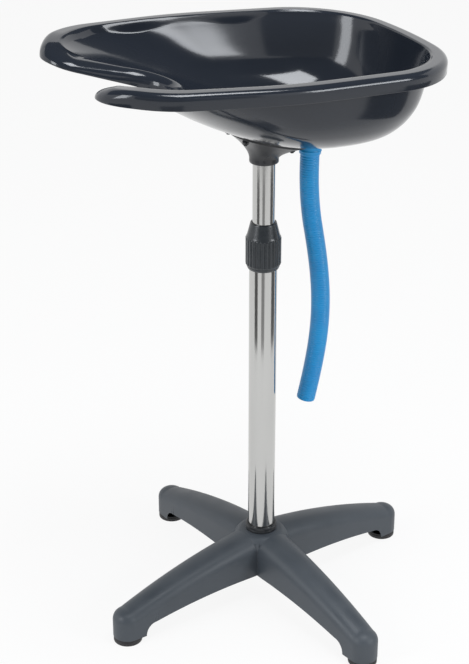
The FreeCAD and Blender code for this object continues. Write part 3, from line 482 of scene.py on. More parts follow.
# ---------------------------------------------------------------- basin
@dataclass
class Outline:
    """The rim's closed outline in the basin's plane, with the neck notch and its two lobes (mm).

    Attributes:
        drain_end: reach of the rim at the drain end.
        notch_end: reach of the end that the notch is cut from.
        widest: where the outline is widest.
        half_width: half width there.
        setback: how far each corner point lies in from its end, as a share of the length beside it.
        shares: half widths of the two ends' corners as shares of the widest.
        apex: inner end of the notch.
        mouth: where the notch's mouth is measured.
        mouth_half: half width of the notch at its mouth.
        flare: degrees that each flank of the notch opens towards the mouth.
        lobe_radius: round of each lobe between its flank and the outline's corner.
        softness: standard deviation of the final smoothing.
        count: number of points.
    """

    drain_end: float = 222.0
    notch_end: float = -277.0
    widest: float = -50.0
    half_width: float = 189.0
    setback: float = 0.055
    shares: tuple[float, float] = (0.91, 0.84)
    apex: float = -130.0
    mouth: float = -262.0
    mouth_half: float = 57.5
    flare: float = 8.0
    lobe_radius: float = 40.0
    softness: float = 3.0
    count: int = 720

    @staticmethod
    def arc(centre: Array, first: Array, last: Array, steps: int = 32) -> Array:
        """An arc about a centre by the slerp of its two end radii.

        Args:
            centre: the arc's centre.
            first: where it starts.
            last: where it ends.
            steps: number of points.

        Returns:
            The points in order.
        """
        start, end = first - centre, last - centre
        sweep = math.acos(float(np.clip(start @ end / np.linalg.norm(start) / np.linalg.norm(end), -1.0, 1.0)))
        t = np.linspace(0.0, 1.0, steps)[:, None]
        return centre + (np.sin((1.0 - t) * sweep) * start + np.sin(t * sweep) * end) / math.sin(sweep)

    def corner(self, before: Array, tip: Array, after: Array, reach: float) -> tuple[Array, Array, Array]:
        """The arc that starts and ends a given reach from a corner: its centre and both ends.

        Args:
            before: the corner before it.
            tip: the corner.
            after: the corner after it.
            reach: distance from the corner to both ends.

        Returns:
            Centre, start and end.
        """
        back = (before - tip) / np.linalg.norm(before - tip)
        on = (after - tip) / np.linalg.norm(after - tip)
        half = math.acos(float(back @ on)) / 2.0
        middle = (back + on) / np.linalg.norm(back + on)
        return tip + middle * (reach / math.cos(half)), tip + back * reach, tip + on * reach

    def half_loop(self) -> Array:
        """Points of the half with v > 0, from the drain end's middle to the notch's apex.

        Returns:
            The half's points in order.
        """
        drain_corner = self.drain_end - self.setback * (self.drain_end - self.widest)
        notch_corner = self.notch_end + self.setback * (self.widest - self.notch_end)
        wide, narrow = (share * self.half_width for share in self.shares)
        mirror = np.array((drain_corner, -wide))
        nose, drain, side, notch, end = (np.array(point) for point in (
            (self.drain_end, 0.0), (drain_corner, wide), (self.widest, self.half_width),
            (notch_corner, narrow), (self.notch_end, 0.0),
        ))
        side_reach = 0.25 * min(drain_corner - self.widest, self.widest - notch_corner)
        runs = []
        for before, tip, after, reach in (
            (mirror, nose, drain, 0.3 * wide), (nose, drain, side, 0.64 * wide), (drain, side, notch, side_reach),
        ):
            runs.append(self.arc(*self.corner(before, tip, after, reach)))
        runs[0] = runs[0][len(runs[0]) // 2:]
        centre, first, _ = self.corner(side, notch, end, 0.56 * narrow)
        big = float(np.linalg.norm(first - centre))
        return np.concatenate([*runs, *self.lobe(centre, first, big)])

    def lobe(self, centre: Array, first: Array, big: float) -> list[Array]:
        """The big corner arc, the lobe's own round and the apex's quarter.

        The lobe's circle touches the flank and, from inside, the big corner: its centre lies on the flank's
        offset line at big - r from the corner's centre. The apex circle is tangent to both flanks.

        Args:
            centre: the big corner's centre.
            first: where the big corner starts.
            big: its radius.

        Returns:
            The three runs in order.
        """
        flare = math.radians(self.flare)
        along = np.array((-math.cos(flare), math.sin(flare)))
        aside = np.array((math.sin(flare), math.cos(flare)))
        foot = np.array((self.mouth, self.mouth_half)) + aside * self.lobe_radius
        gap = foot - centre
        middle = float(gap @ along)
        reach = math.sqrt(middle**2 - float(gap @ gap) + (big - self.lobe_radius) ** 2)
        hub = foot + along * (reach - middle)
        touch = centre + (hub - centre) * big / (big - self.lobe_radius)
        depth = self.apex - self.mouth
        radius = (self.mouth_half * math.cos(flare) - depth * math.sin(flare)) / (1.0 - math.sin(flare))
        turn = np.array((self.apex - radius, 0.0))
        tip = turn + radius * np.array((1.0, 0.0))
        return [
            self.arc(centre, first, touch), self.arc(hub, touch, hub - aside * self.lobe_radius),
            self.arc(turn, turn + radius * aside, tip),
        ]

    def points(self) -> tuple[Array, Array]:
        """Evenly spaced, smoothed outline points and the outward normal at each.

        The polyline is read as a complex signal z = u + iv, evened out by arc length, and each harmonic k is
        scaled by exp(-(2 pi k s / L)^2 / 2); the normal is the derivative's harmonics turned by a right angle.

        Returns:
            Points and normals, each (count, 2).
        """
        half = self.half_loop()
        loop = np.concatenate([half, half[::-1] * (1.0, -1.0)])
        along = np.concatenate([[0.0], np.cumsum(np.linalg.norm(np.diff(loop, axis=0), axis=1))])
        even = np.linspace(0.0, along[-1], self.count, endpoint=False)
        signal = np.interp(even, along, loop[:, 0]) + 1j * np.interp(even, along, loop[:, 1])
        spectrum = np.fft.fft(signal)
        harmonic = np.fft.fftfreq(self.count, 1.0 / self.count)
        spectrum *= np.exp(-((2.0 * math.pi * harmonic * self.softness / along[-1]) ** 2) / 2.0)
        place = np.fft.ifft(spectrum)
        tangent = np.fft.ifft(spectrum * 1j * harmonic)
        normal = -1j * tangent / np.abs(tangent)
        return np.stack([place.real, place.imag], axis=1), np.stack([normal.real, normal.imag], axis=1)


def smooth(t: Array) -> Array:
    """Eases 0 to 1: 3t^2 - 2t^3, held outside."""
    t = np.clip(t, 0.0, 1.0)
    return t * t * (3.0 - 2.0 * t)


@dataclass
class Basin:
    """The moulded basin: a bowl whose inside flows up into the rolled rim (mm, basin frame).

    Attributes:
        lean: degrees that the rim's plane tips towards the drain.
        rim_height: the rim's height at the column.
        wall: wall thickness.
        lip_width: width of the level rim's flat.
        roll: radius of the level rim's rolled edge.
        skirt: height of the edge from crest to foot.
        crest_half: half width beyond which the lobes are level with the rim.
        crest_drop: the crest's depth at the notch's mouth and apex.
        skirt_drop: the skirt foot's extra depth at the mouth and apex.
        notch_roll: width of the roll at the mouth and apex.
        blend: how far in the lip ends on the level rim, and at the notch and the lobes.
        tip: where the lobes' own blend begins and is complete, along the basin.
        draft: how much more than the wall the long sides' inside leans in, in wall thicknesses.
        drain_u: the drain's place.
        drain_radius: its hole.
        around: points round the bowl.
        down: rings from rim to floor.
    """

    lean: float = 2.65
    rim_height: float = 812.0
    wall: float = 3.0
    lip_width: float = 22.0
    roll: float = 8.0
    skirt: float = 20.0
    crest_half: float = 145.0
    crest_drop: tuple[float, float] = (10.0, 39.0)
    skirt_drop: tuple[float, float] = (3.0, 40.0)
    notch_roll: tuple[float, float] = (27.0, 11.0)
    blend: tuple[float, float] = (22.0, 34.0)
    tip: tuple[float, float] = (-150.0, -215.0)
    draft: float = 2.0
    drain_u: float = 75.0
    drain_radius: float = 14.0
    around: int = 256
    down: int = 72

    # depth, notch-end reach, drain-end reach, half width, the two ends' fullness, ring centre
    RINGS = np.array([
        (2.5, -262.0, 202.5, 169.0, 2.9, 3.2, -45.0),
        (16.0, -240.0, 200.5, 168.0, 2.8, 3.1, -38.0),
        (36.0, -195.0, 197.5, 165.0, 2.6, 3.0, -22.0),
        (60.0, -150.0, 192.0, 159.0, 2.3, 2.9, 0.0),
        (80.0, -110.0, 184.0, 147.0, 2.2, 2.8, 15.0),
        (100.0, -64.0, 171.0, 123.0, 2.1, 2.6, 40.0),
        (115.0, -22.0, 155.0, 88.0, 2.0, 2.4, 60.0),
        (125.0, 14.0, 132.0, 58.0, 2.0, 2.2, 70.0),
        (130.0, 44.0, 106.0, 31.0, 2.0, 2.0, 75.0),
    ])

    def place(self, grid: Array) -> Array:
        """Carries (u, v, w) millimetres to the row frame: a turn by the lean about Y, then up to the rim's height.

        Args:
            grid: points in the basin's frame.

        Returns:
            The same grid in metres.
        """
        angle = math.radians(self.lean)
        u, v, w = grid[..., 0], grid[..., 1], grid[..., 2]
        x = u * math.cos(angle) + w * math.sin(angle)
        z = self.rim_height - u * math.sin(angle) + w * math.cos(angle)
        return np.stack([COLUMN_X + x * MM, v * MM, z * MM], axis=-1)

    def ring_sizes(self, at: Array, side: float) -> tuple[Array, ...]:
        """Height, centre, both reaches, half width and both fullnesses of rings at parameters 0 (rim) to 1 (floor).

        Args:
            at: ring parameters.
            side: 0 for the outside, the wall's thickness for the inside.

        Returns:
            One array per quantity.
        """
        table = eased(np.linspace(0.0, 1.0, len(self.RINGS)), self.RINGS, at)
        depth, notch, drain, width, notch_full, drain_full, centre = table.T
        height = side * np.clip(at * 8.0, 0.0, 1.0) - depth
        inset = side * (1.0 + self.draft * smooth(at * 2.5))
        return height, centre, centre - notch - side, drain - centre - side, width - inset, notch_full, drain_full

    def ring_grid(self, at: Array, side: float) -> Array:
        """Rings of the bowl: a superellipse radius r(t) = (|cos t / a|^n + |sin t / b|^n)^(-1/n) about each centre.

        Args:
            at: parameters from rim to floor, one per ring.
            side: 0 for the outside, the wall's thickness for the inside.

        Returns:
            A (rings, around, 3) grid in the basin's frame.
        """
        sizes = (value[:, None] for value in self.ring_sizes(at, side))
        height, centre, to_notch, to_drain, width, notch_full, drain_full = sizes
        angle = full_turn(self.around)[None, :]
        cos, sin = np.cos(angle), np.sin(angle)
        reach = np.where(cos < 0.0, to_notch, to_drain)
        power = np.where(cos < 0.0, notch_full, drain_full)
        radius = (np.abs(cos / reach) ** power + np.abs(sin / width) ** power) ** (-1.0 / power)
        return np.stack([centre + radius * cos, radius * sin, np.broadcast_to(height, radius.shape)], axis=-1)

    def surface(self, u: Array, v: Array, side: float) -> Array:
        """Height of the bowl's outside or inside under plan points, by halving until a ring meets each point.

        Args:
            u: places along the basin.
            v: places across it.
            side: 0 for the outside, the wall's thickness for the inside.

        Returns:
            The height at each place.
        """
        shape = u.shape
        u, v = u.ravel(), v.ravel()
        low, high = np.zeros(len(u)), np.ones(len(u))
        for _ in range(30):
            middle = (low + high) / 2.0
            _, centre, to_notch, to_drain, width, notch_full, drain_full = self.ring_sizes(middle, side)
            left = u < centre
            reach = np.where(left, to_notch, to_drain)
            power = np.where(left, notch_full, drain_full)
            outside = np.abs((u - centre) / reach) ** power + np.abs(v / width) ** power > 1.0
            high = np.where(outside, middle, high)
            low = np.where(outside, low, middle)
        return self.ring_sizes((low + high) / 2.0, side)[0].reshape(shape)

    def bowl(self) -> bpy.types.Object:
        """The whole bowl with wall thickness and drain hole, before the notch is taken out.

        Returns:
            The closed blank.
        """
        at = np.linspace(0.0, 1.0, self.down)
        outer = self.ring_grid(at, 0.0)
        inner = self.ring_grid(at, self.wall)
        hole = self.hole_ring(-self.RINGS[-1, 0])
        hole_top = self.hole_ring(self.wall - self.RINGS[-1, 0])
        loop = np.concatenate([outer, hole[None], hole_top[None], inner[::-1]])
        return mesh_of("bowl_blank", [Patch(self.place(loop), wrap_rows=True, wrap_columns=True)], 180.0)

    def hole_ring(self, height: float) -> Array:
        """The drain hole's circle at one height.

        Args:
            height: the ring's height.

        Returns:
            One point per angle.
        """
        angle = full_turn(self.around)
        u = self.drain_u + self.drain_radius * np.cos(angle)
        v = self.drain_radius * np.sin(angle)
        return np.stack([u, v, np.full_like(u, height)], axis=-1)

    def along_notch(self, pair: tuple[float, float], u: Array) -> Array:
        """A value between its size at the notch's mouth and its size at the apex."""
        outline = Outline()
        return pair[0] + (pair[1] - pair[0]) * (u - outline.mouth) / (outline.apex - outline.mouth)

    def notch_share(self, u: Array, v: Array) -> Array:
        """1 round the notch, easing to 0 over each lobe."""
        half = Outline.mouth_half
        return (u < Outline.apex + half) * (1.0 - smooth((np.abs(v) - half) / (self.crest_half - half)))

    def lip_ends(self, u: Array, v: Array) -> Array:
        """How far in from the edge the lip's surface ends: its flat's width, or further at the notch and lobes.

        Args:
            u: places along the basin.
            v: places across it.

        Returns:
            A distance for each place.
        """
        over_lobe = smooth((u - self.tip[0]) / (self.tip[1] - self.tip[0]))
        share = np.maximum(over_lobe, self.notch_share(u, v))
        return self.blend[0] + (self.blend[1] - self.blend[0]) * share

    def lip_grid(self) -> Array:
        """The rim's closed section carried along the outline.

        From the skirt's foot the outside runs up, round the roll (an ellipse quarter) and over the crest. From
        there to the lip's end the height is h(d) = crest (1 - S) + bowl(d) S, with S eased from where the flat
        ends, so the lip meets the bowl's inside. The underside returns three millimetres within.

        Returns:
            A (count, section, 3) grid in the basin's frame, closed both ways.
        """
        place, normal = Outline().points()
        u, v = place[:, :1], place[:, 1:]
        share = self.notch_share(u, v)
        roll = self.roll + share * (self.along_notch(self.notch_roll, u) - self.roll)
        end = self.lip_ends(u, v)
        flat = (1.0 - share) * (self.lip_width - 3.0) + share * roll
        rise = np.minimum(roll, self.skirt - 2.0)
        turn = np.linspace(0.0, math.pi / 2.0, 12)[None]
        foot = np.array([(self.wall, 0.8), (self.wall - 0.8, 0.0), (0.8, 0.0), (0.24, 0.24), (0.0, 0.8)])
        inward = [np.broadcast_to(foot[:, 0], (len(u), 5)), roll * (1.0 - np.cos(turn))]
        up = [np.broadcast_to(foot[:, 1] - self.skirt, (len(u), 5)), rise * (np.sin(turn) - 1.0)]
        inward.append(roll + (flat - roll) * np.linspace(0.25, 1.0, 4))
        up.append(np.zeros((len(u), 4)))
        drop_share = np.clip(-np.concatenate(up, axis=1) / self.skirt, 0.0, 1.0)
        crest = share * self.along_notch(self.crest_drop, u)
        low = share * self.along_notch(self.skirt_drop, u)
        outside = np.concatenate(inward, axis=1)
        height = np.concatenate(up, axis=1) - crest * (1.0 - drop_share) - low * drop_share
        t = np.linspace(0.0, 1.0, 13)[None, 1:]
        within = flat + (end - flat) * t
        floor = self.surface(u - normal[:, :1] * within, v - normal[:, 1:] * within, self.wall) - 0.12
        blended = -crest * (1.0 - smooth(t)) + floor * smooth(t)
        middle, root = (end + flat) / 2.0, 0.5 * (roll + self.wall)
        under_at = np.concatenate([end, middle, np.broadcast_to(flat, end.shape), roll, root], axis=1)
        under = self.underside(u, v, normal, under_at, crest, end, flat)
        inward = np.concatenate([outside, within, under_at, np.full_like(u, self.wall)], axis=1)
        height = np.concatenate([height, blended, under, -rise - crest * 0.5 - low * 0.5], axis=1)
        plan = place[:, None] - inward[..., None] * normal[:, None]
        return np.concatenate([plan, height[..., None]], axis=-1)

    def underside(self, u: Array, v: Array, normal: Array, at: Array, crest: Array, end: Array, flat: Array) -> Array:
        """Height of the lip's underside: the crest less the wall, eased down to the bowl's outside.

        Args:
            u: places of the outline along the basin.
            v: places of the outline across it.
            normal: outward normals.
            at: distances in from the edge.
            crest: depth of the crest.
            end: where the lip ends.
            flat: where its flat ends.

        Returns:
            A height for each distance.
        """
        share = smooth((at - flat) / (end - flat))
        floor = self.surface(u - normal[:, :1] * at, v - normal[:, 1:] * at, 0.0) + 0.12
        sag = np.array([0.0, 0.0, 0.0, 0.0, 2.0])
        return (-crest - self.wall - sag) * (1.0 - share) + floor * share

    def prism(self) -> bpy.types.Object:
        """The outline moved in to just short of the lip's end, drawn through the whole bowl.

        Returns:
            The closed tool.
        """
        place, normal = Outline().points()
        plan = place - normal * (self.lip_ends(place[:, :1], place[:, 1:]) - 5.0)
        levels = np.array([20.0, -160.0])
        grid = np.concatenate([
            np.repeat(plan[None], 2, axis=0), np.broadcast_to(levels[:, None, None], (2, len(plan), 1)),
        ], axis=-1)
        points = self.place(grid).reshape(-1, 3)
        count = len(plan)
        side = quads(2, count, False, True).tolist()
        mesh = bpy.data.meshes.new("notch_tool")
        mesh.from_pydata(points.tolist(), [], side + [list(range(count)), list(range(count, 2 * count))[::-1]])
        clean(mesh, 1e-7)
        return placed("notch_tool", mesh)

    def trimmed_bowl(self) -> bpy.types.Object:
        """The bowl kept only inside the prism.

        Returns:
            The open-notched bowl.
        """
        blank, tool = self.bowl(), self.prism()
        cut = blank.modifiers.new("notch", "BOOLEAN")
        cut.operation = "INTERSECT"
        cut.solver = "EXACT"
        cut.object = tool
        graph = bpy.context.evaluated_depsgraph_get()
        mesh = bpy.data.meshes.new_from_object(blank.evaluated_get(graph))
        blank.modifiers.clear()
        for spare in (blank, tool):
            bpy.data.objects.remove(spare)
        return placed("basin_bowl", mesh)

    def build(self) -> bpy.types.Object:
        """Joins bowl and lip into one piece.

        Returns:
            The dressed basin.
        """
        bowl = self.trimmed_bowl()
        lip = mesh_of("basin_lip", [Patch(self.place(self.lip_grid()), True, True)], 50.0)
        join = bmesh.new()
        join.from_mesh(bowl.data)
        join.from_mesh(lip.data)
        mesh = bpy.data.meshes.new("basin_moulding")
        join.to_mesh(mesh)
        join.free()
        for spare in (bowl, lip):
            bpy.data.objects.remove(spare)
        finish_shading(mesh, 50.0)
        return dress(placed("basin_moulding", mesh), GLOSS_ABS, Body.BASIN, "basin_shell")


# ---------------------------------------------------------------- column and collar
@dataclass
class Column:
    """Chrome tubes and the trim ring at the hub.

    Attributes:
        wall: the tubes' wall thickness.
        sides: points round each piece.
    """

    wall: float = 1.5 * MM
    sides: int = 128

    def tube(self, node: str, name: str, body: Body) -> bpy.types.Object:
        """A thin-walled tube with eased ends, sized by its CAD node.

        Args:
            node: the CAD node.
            name: the piece's name.
            body: the rigid body that it rides on.

        Returns:
            The tube.
        """
        low, high = node_box(node)
        radius = node_radius(node)
        profile = np.array([
            (radius, low[2]), (radius, high[2]), (radius - self.wall, high[2]), (radius - self.wall, low[2]),
        ])
        grid = lathe(rounded(profile, 0.5 * MM, 4), self.sides, COLUMN_X)
        return shell(name, grid, CHROME, body, node)

    def trim_ring(self) -> bpy.types.Object:
        """The dark ring at the hub: a collar with a rounded top edge and a fine waist line.

        Returns:
            The ring.
        """
        low, high = node_box("hub_ring")
        outer, inner = node_radius("hub_ring"), node_radius("lower_tube")
        profile = np.array([
            (inner, low[2]), (outer, low[2]), (outer, low[2] + 3.2 * MM), (outer - 0.5 * MM, low[2] + 3.6 * MM),
            (outer - 0.5 * MM, low[2] + 4.2 * MM), (outer, low[2] + 4.6 * MM), (outer, high[2]), (inner, high[2]),
        ])
        reach = np.array([0.2, 0.5, 0.15, 0.15, 0.15, 0.15, 2.2, 0.4]) * MM
        grid = lathe(rounded(profile, reach), self.sides, COLUMN_X)
        return shell("hub_trim_ring", grid, RING_PLASTIC, Body.BASE, "hub_ring")

    def build(self) -> None:
        """Builds the column's pieces."""
        self.tube("lower_tube", "column_lower_tube", Body.BASE)
        self.tube("upper_tube", "column_upper_tube", Body.BASIN)
        self.trim_ring()


@dataclass
class Collar:
    """The twist-lock: fixed flange below, ribbed grip with a conical nose above.

    Attributes:
        ribs: number of grip ribs.
        rib_depth: how far they stand out.
        grip_drop: how far the grip reaches below its solid.
        grip_height: the ribbed length.
        sides: points round the grip.
    """

    ribs: int = 24
    rib_depth: float = 1.1 * MM
    grip_drop: float = 3.0 * MM
    grip_height: float = 42.0 * MM
    sides: int = 288

    def flange(self) -> bpy.types.Object:
        """The fixed lower sleeve with its chamfered flange.

        Returns:
            The flange.
        """
        high = node_box("collar_body")[1]
        outer, tube = node_radius("collar_body"), node_radius("lower_tube")
        seat = node_box("collar_nut")[0][2] - self.grip_drop - 0.4 * MM
        outer -= 1.6 * MM
        foot = seat - 3.5 * MM
        sleeve = outer - 3.0 * MM
        profile = np.array([
            (tube, foot), (tube + 2.0 * MM, foot), (outer, foot + 4.0 * MM), (outer, seat),
            (sleeve, seat), (sleeve, high[2]), (tube, high[2]),
        ])
        reach = np.array([0.2, 0.8, 1.6, 0.5, 0.2, 0.3, 0.2]) * MM
        grid = lathe(rounded(profile, reach), 128, COLUMN_X)
        return shell("collar_flange", grid, COLLAR_PLASTIC, Body.BASE, "collar_body")

    def grip(self) -> bpy.types.Object:
        """The turning grip: a lathe whose radius is raised by rounded ribs, |cos(n t / 2)|^0.6, along its grip.

        Returns:
            The grip.
        """
        low, high = node_box("collar_nut")
        outer = node_radius("collar_nut")
        upper = node_radius("upper_tube")
        sleeve = node_radius("collar_body") - 2.95 * MM
        foot, top = low[2] - self.grip_drop, high[2]
        grip_top = foot + self.grip_height
        nose = upper + 2.5 * MM
        body = outer - self.rib_depth
        profile = np.array([
            (sleeve, foot), (body - 0.6 * MM, foot), (body, foot + 1.6 * MM), (body, foot + 3.0 * MM),
            (body, grip_top - 2.0 * MM), (body, grip_top), (body - 0.8 * MM, grip_top + 1.5 * MM), (nose, top),
            (upper + 0.4 * MM, top), (upper + 0.4 * MM, top - 1.5 * MM), (nose - 1.2 * MM, top - 1.5 * MM),
            (19.5 * MM, top - 17.5 * MM), (19.5 * MM, top - 21.5 * MM), (sleeve, top - 24.0 * MM),
        ])
        reach = np.array([0.3, 0.5, 0.6, 0.2, 0.2, 0.8, 0.8, 1.2, 0.3, 0.2, 0.2, 0.3, 0.3, 0.3]) * MM
        points = self.refined(rounded(profile, reach))
        grid = lathe(points, self.sides, COLUMN_X)
        angle = full_turn(self.sides)
        rib = np.abs(np.cos(angle * self.ribs / 2.0)) ** 0.6
        height, radius = points[:, 1], points[:, 0]
        ends = np.clip((height - foot - 1.8 * MM) / (1.2 * MM), 0.0, 1.0)
        ends *= np.clip((grip_top - 0.8 * MM - height) / (1.2 * MM), 0.0, 1.0)
        raised = self.rib_depth * rib[:, None] * (ends * (radius > sleeve + 1.0 * MM))[None, :]
        grid[:, :, 0] += np.cos(angle)[:, None] * raised
        grid[:, :, 1] += np.sin(angle)[:, None] * raised
        return shell("collar_grip", grid, COLLAR_PLASTIC, Body.COLLAR, "collar_nut", 50.0)

    @staticmethod
    def refined(points: Array, step: float = 1.0 * MM) -> Array:
        """Adds points along a closed profile so that no run is longer than a step.

        Args:
            points: the closed profile.
            step: the longest run.

        Returns:
            The profile with its added points.
        """
        closed = np.concatenate([points, points[:1]])
        run = np.linalg.norm(np.diff(closed, axis=0), axis=1)
        along = np.concatenate([[0.0], np.cumsum(run)])
        extra = np.arange(0.0, along[-1], step)
        at = np.unique(np.concatenate([along[:-1], extra]))
        return np.stack([np.interp(at, along, closed[:, 0]), np.interp(at, along, closed[:, 1])], axis=1)

    def build(self) -> None:
        """Builds the collar's pieces."""
        self.flange()
        self.grip()


# ---------------------------------------------------------------- base
@dataclass
class Base:
    """Hub and four arched legs with their feet (mm, about the column's axis).

    Attributes:
        legs: number of legs.
        azimuth: degrees from X to the first leg.
        foot_circle: radius of the circle through the feet.
        boss_foot: height of each foot boss's underside.
        hub_radius: the hub's radius.
        hub_foot: its lower end.
        hub_top: its upper end.
        hub_sides: points round it.
        wall: wall thickness of the legs.
        fullness: power of the superellipse over each leg.
        boss_start: where a leg's hollow ends.
        rib_width: thickness of a cross rib.
        RIBS: where the cross ribs stand.
    """

    legs: int = 4
    azimuth: float = 10.0
    foot_circle: float = 231.7
    boss_foot: float = 9.0
    hub_radius: float = 38.0
    hub_foot: float = 38.0
    hub_top: float = 98.0
    hub_sides: int = 720
    wall: float = 4.0
    fullness: float = 2.3
    boss_start: float = 206.0
    rib_width: float = 3.0
    RIBS = (70.0, 115.0, 160.0)

    def leg_sizes(self, station: Array) -> tuple[Array, Array, Array]:
        """Half width, crest and underside at each station: parabolas through hub, middle and foot.

        Args:
            station: distances from the column's axis.

        Returns:
            Half width, crest height and underside height.
        """
        knots = np.array([12.0, 120.0, self.foot_circle])
        width = np.polyval(np.polyfit(knots, [27.0, 24.5, 20.5], 2), station)
        crest = np.polyval(np.polyfit(knots, [99.0, 82.0, 50.0], 2), station)
        arch = np.polyval(np.polyfit([38.0, 118.0, 197.0], [38.0, 36.5, 27.0], 2), station)
        step = np.clip((station - 197.0) / 17.0, 0.0, 1.0)
        foot = 27.0 - (27.0 - self.boss_foot) * (1.0 - np.sqrt(np.clip(1.0 - step**2.2, 0.0, 1.0)))
        low = np.where(station < 38.0, self.hub_foot, np.where(station < 197.0, arch, foot))
        return width, crest, np.where(station >= 213.9, self.boss_foot, low)

    def arch(self, across: Array, width: Array, crest: Array, low: Array) -> Array:
        """The section's points for shares 0..1 from one bottom edge over the top to the other.

        The shoulder lies 0.8 half widths below the crest; the top is the superellipse
        |y / b|^n + |z / h|^n = 1, and the sides are straight down to the underside.

        Args:
            across: angle parameter, 0 to pi.
            width: half width per station.
            crest: crest height per station.
            low: underside height per station.

        Returns:
            (stations, points, 2) of y and z.
        """
        cos, sin = np.cos(across), np.sin(across)
        side = np.sign(cos) * np.abs(cos) ** (2.0 / self.fullness)
        rise = np.abs(sin) ** (2.0 / self.fullness)
        height = 0.8 * width[:, None]
        y = width[:, None] * side[None]
        z = (crest[:, None] - height) + height * rise[None]
        foot = np.stack([width, low], axis=1)[:, None]
        mirrored = foot * np.array([-1.0, 1.0])
        return np.concatenate([foot, np.stack([y, z], axis=-1), mirrored], axis=1)

    def leg_grid(self, inset: float, start: float, end: float) -> Array:
        """The leg's outer or inner surface as a (stations, points, 3) grid along +X.

        Args:
            inset: 0 for the outside, the wall's thickness for the inside.
            start: first station.
            end: last station.

        Returns:
            A (stations, points, 3) grid.
        """
        station = np.unique(np.concatenate([np.linspace(start, end, 60), np.linspace(195.0, min(end, 214.0), 16)]))
        width, crest, low = self.leg_sizes(station)
        across = np.linspace(0.0, math.pi, 33)
        section = self.arch(across, width - inset, crest - inset, low)
        x = np.broadcast_to(station[:, None, None], (*section.shape[:2], 1))
        return np.concatenate([x, section], axis=-1)

    def knuckle(self) -> list[Array]:
        """The rounded end over the foot: half the end section turned by a half circle about the foot's axis.

        Returns:
            One grid in a list.
        """
        width, crest, _ = (value[0] for value in self.leg_sizes(np.array([self.foot_circle])))
        across = np.linspace(0.0, math.pi / 2.0, 17)
        half = self.arch(across, np.array([width]), np.array([crest]), np.array([self.boss_foot]))[0, :-1]
        turn = np.linspace(-math.pi / 2.0, math.pi / 2.0, 33)[:, None]
        x = self.foot_circle + half[None, :, 0] * np.cos(turn)
        y = half[None, :, 0] * np.sin(turn)
        z = np.broadcast_to(half[None, :, 1], x.shape)
        return [np.stack([x, y, z], axis=-1)]

    def leg_patches(self) -> list[Array]:
        """Every grid of one leg along +X.

        Returns:
            The grids.
        """
        outer = self.leg_grid(0.0, 20.0, self.foot_circle)
        inner = self.leg_grid(self.wall, 26.0, self.boss_start)
        patches = [outer, inner, *self.knuckle()]
        patches.append(self.underside(inner))
        patches.append(self.boss_floor())
        patches.append(self.web(self.boss_start))
        for station in self.RIBS:
            patches.extend(self.rib(station))
        return patches

    def underside(self, inner: Array) -> Array:
        """The narrow foot faces of the two side walls, as strips between outer and inner bottom edges.

        Args:
            inner: the hollow's grid, whose stations it follows.

        Returns:
            A grid of strips.
        """
        station = inner[:, 0, 0]
        width, _, low = self.leg_sizes(station)
        rows = [np.stack([station, y, low], axis=-1) for y in (width, width - self.wall)]
        return np.stack(rows, axis=1)

    def boss_floor(self) -> Array:
        """The flat underside of the foot boss: a disc of spokes from the foot's axis to its edge.

        Returns:
            The disc's grid.
        """
        angle = np.linspace(0.0, 2.0 * math.pi, 65)
        width = self.leg_sizes(np.array([self.foot_circle]))[0][0]
        radius = np.array([5.0, 0.6 * width, width])[None, :]
        x = self.foot_circle + radius * np.cos(angle)[:, None]
        y = radius * np.sin(angle)[:, None]
        return np.stack([x, y, np.full_like(x, self.boss_foot)], axis=-1)

    def web(self, station: float) -> Array:
        """The wall that closes the hollow at one station, from the underside to the hollow's top.

        Args:
            station: the web's place.

        Returns:
            A (2, points, 3) grid from section to foot.
        """
        width, crest, low = (value[0] for value in self.leg_sizes(np.array([station])))
        section = self.arch(np.linspace(0.0, math.pi, 33), np.array([width - self.wall]),
                            np.array([crest - self.wall]), np.array([low]))[0]
        foot = np.stack([section[:, 0], np.full(len(section), low)], axis=1)
        pair = np.stack([section, foot], axis=0)
        return np.concatenate([np.full((*pair.shape[:2], 1), station), pair], axis=-1)

    def rib(self, station: float) -> list[Array]:
        """A cross rib: two webs and the strip between their feet."""
        front, back = self.web(station), self.web(station + self.rib_width)
        return [front, back, np.stack([front[1], back[1]], axis=0)]

    def hub(self) -> Array:
        """The hub: a lathe with soft shoulders, socket and hollow, and two fine grooves between the legs.

        Returns:
            The hub's grid about the axis.
        """
        radius, foot, top = self.hub_radius, self.hub_foot, self.hub_top
        profile = np.array([
            (4.2, foot), (radius, foot), (radius, top - 8.0), (radius - 7.0, top - 0.8), (23.0, top), (19.0, top),
            (19.0, foot + 6.0), (4.2, foot + 6.0),
        ])
        reach = np.array([0.5, 1.0, 3.0, 3.5, 1.0, 0.4, 0.4, 0.4])
        points = rounded(profile, reach, 6)
        grid = lathe(points, self.hub_sides)
        angle = full_turn(self.hub_sides)
        between = (np.degrees(angle) - self.azimuth) % 90.0 - 45.0
        groove = sum(np.exp(-(((between - side) / 1.1) ** 2)) for side in (-5.0, 5.0))
        outer = (points[:, 0] > radius - 1.0) & (points[:, 1] > foot + 0.5)
        shrink = 1.0 - (1.1 / radius) * groove[:, None] * outer[None, :]
        grid[:, :, :2] *= shrink[..., None]
        return grid

    def moulding(self) -> bpy.types.Object:
        """Hub and legs as one piece.

        Returns:
            The dressed base.
        """
        patches = [Patch(self.to_row(self.hub(), 0.0), True, True)]
        for k in range(self.legs):
            turn = math.radians(self.azimuth + 360.0 * k / self.legs)
            patches.extend(Patch(self.to_row(grid, turn)) for grid in self.leg_patches())
        piece = mesh_of("base_moulding", patches, 42.0)
        return dress(piece, NYLON, Body.BASE, "base_spider")

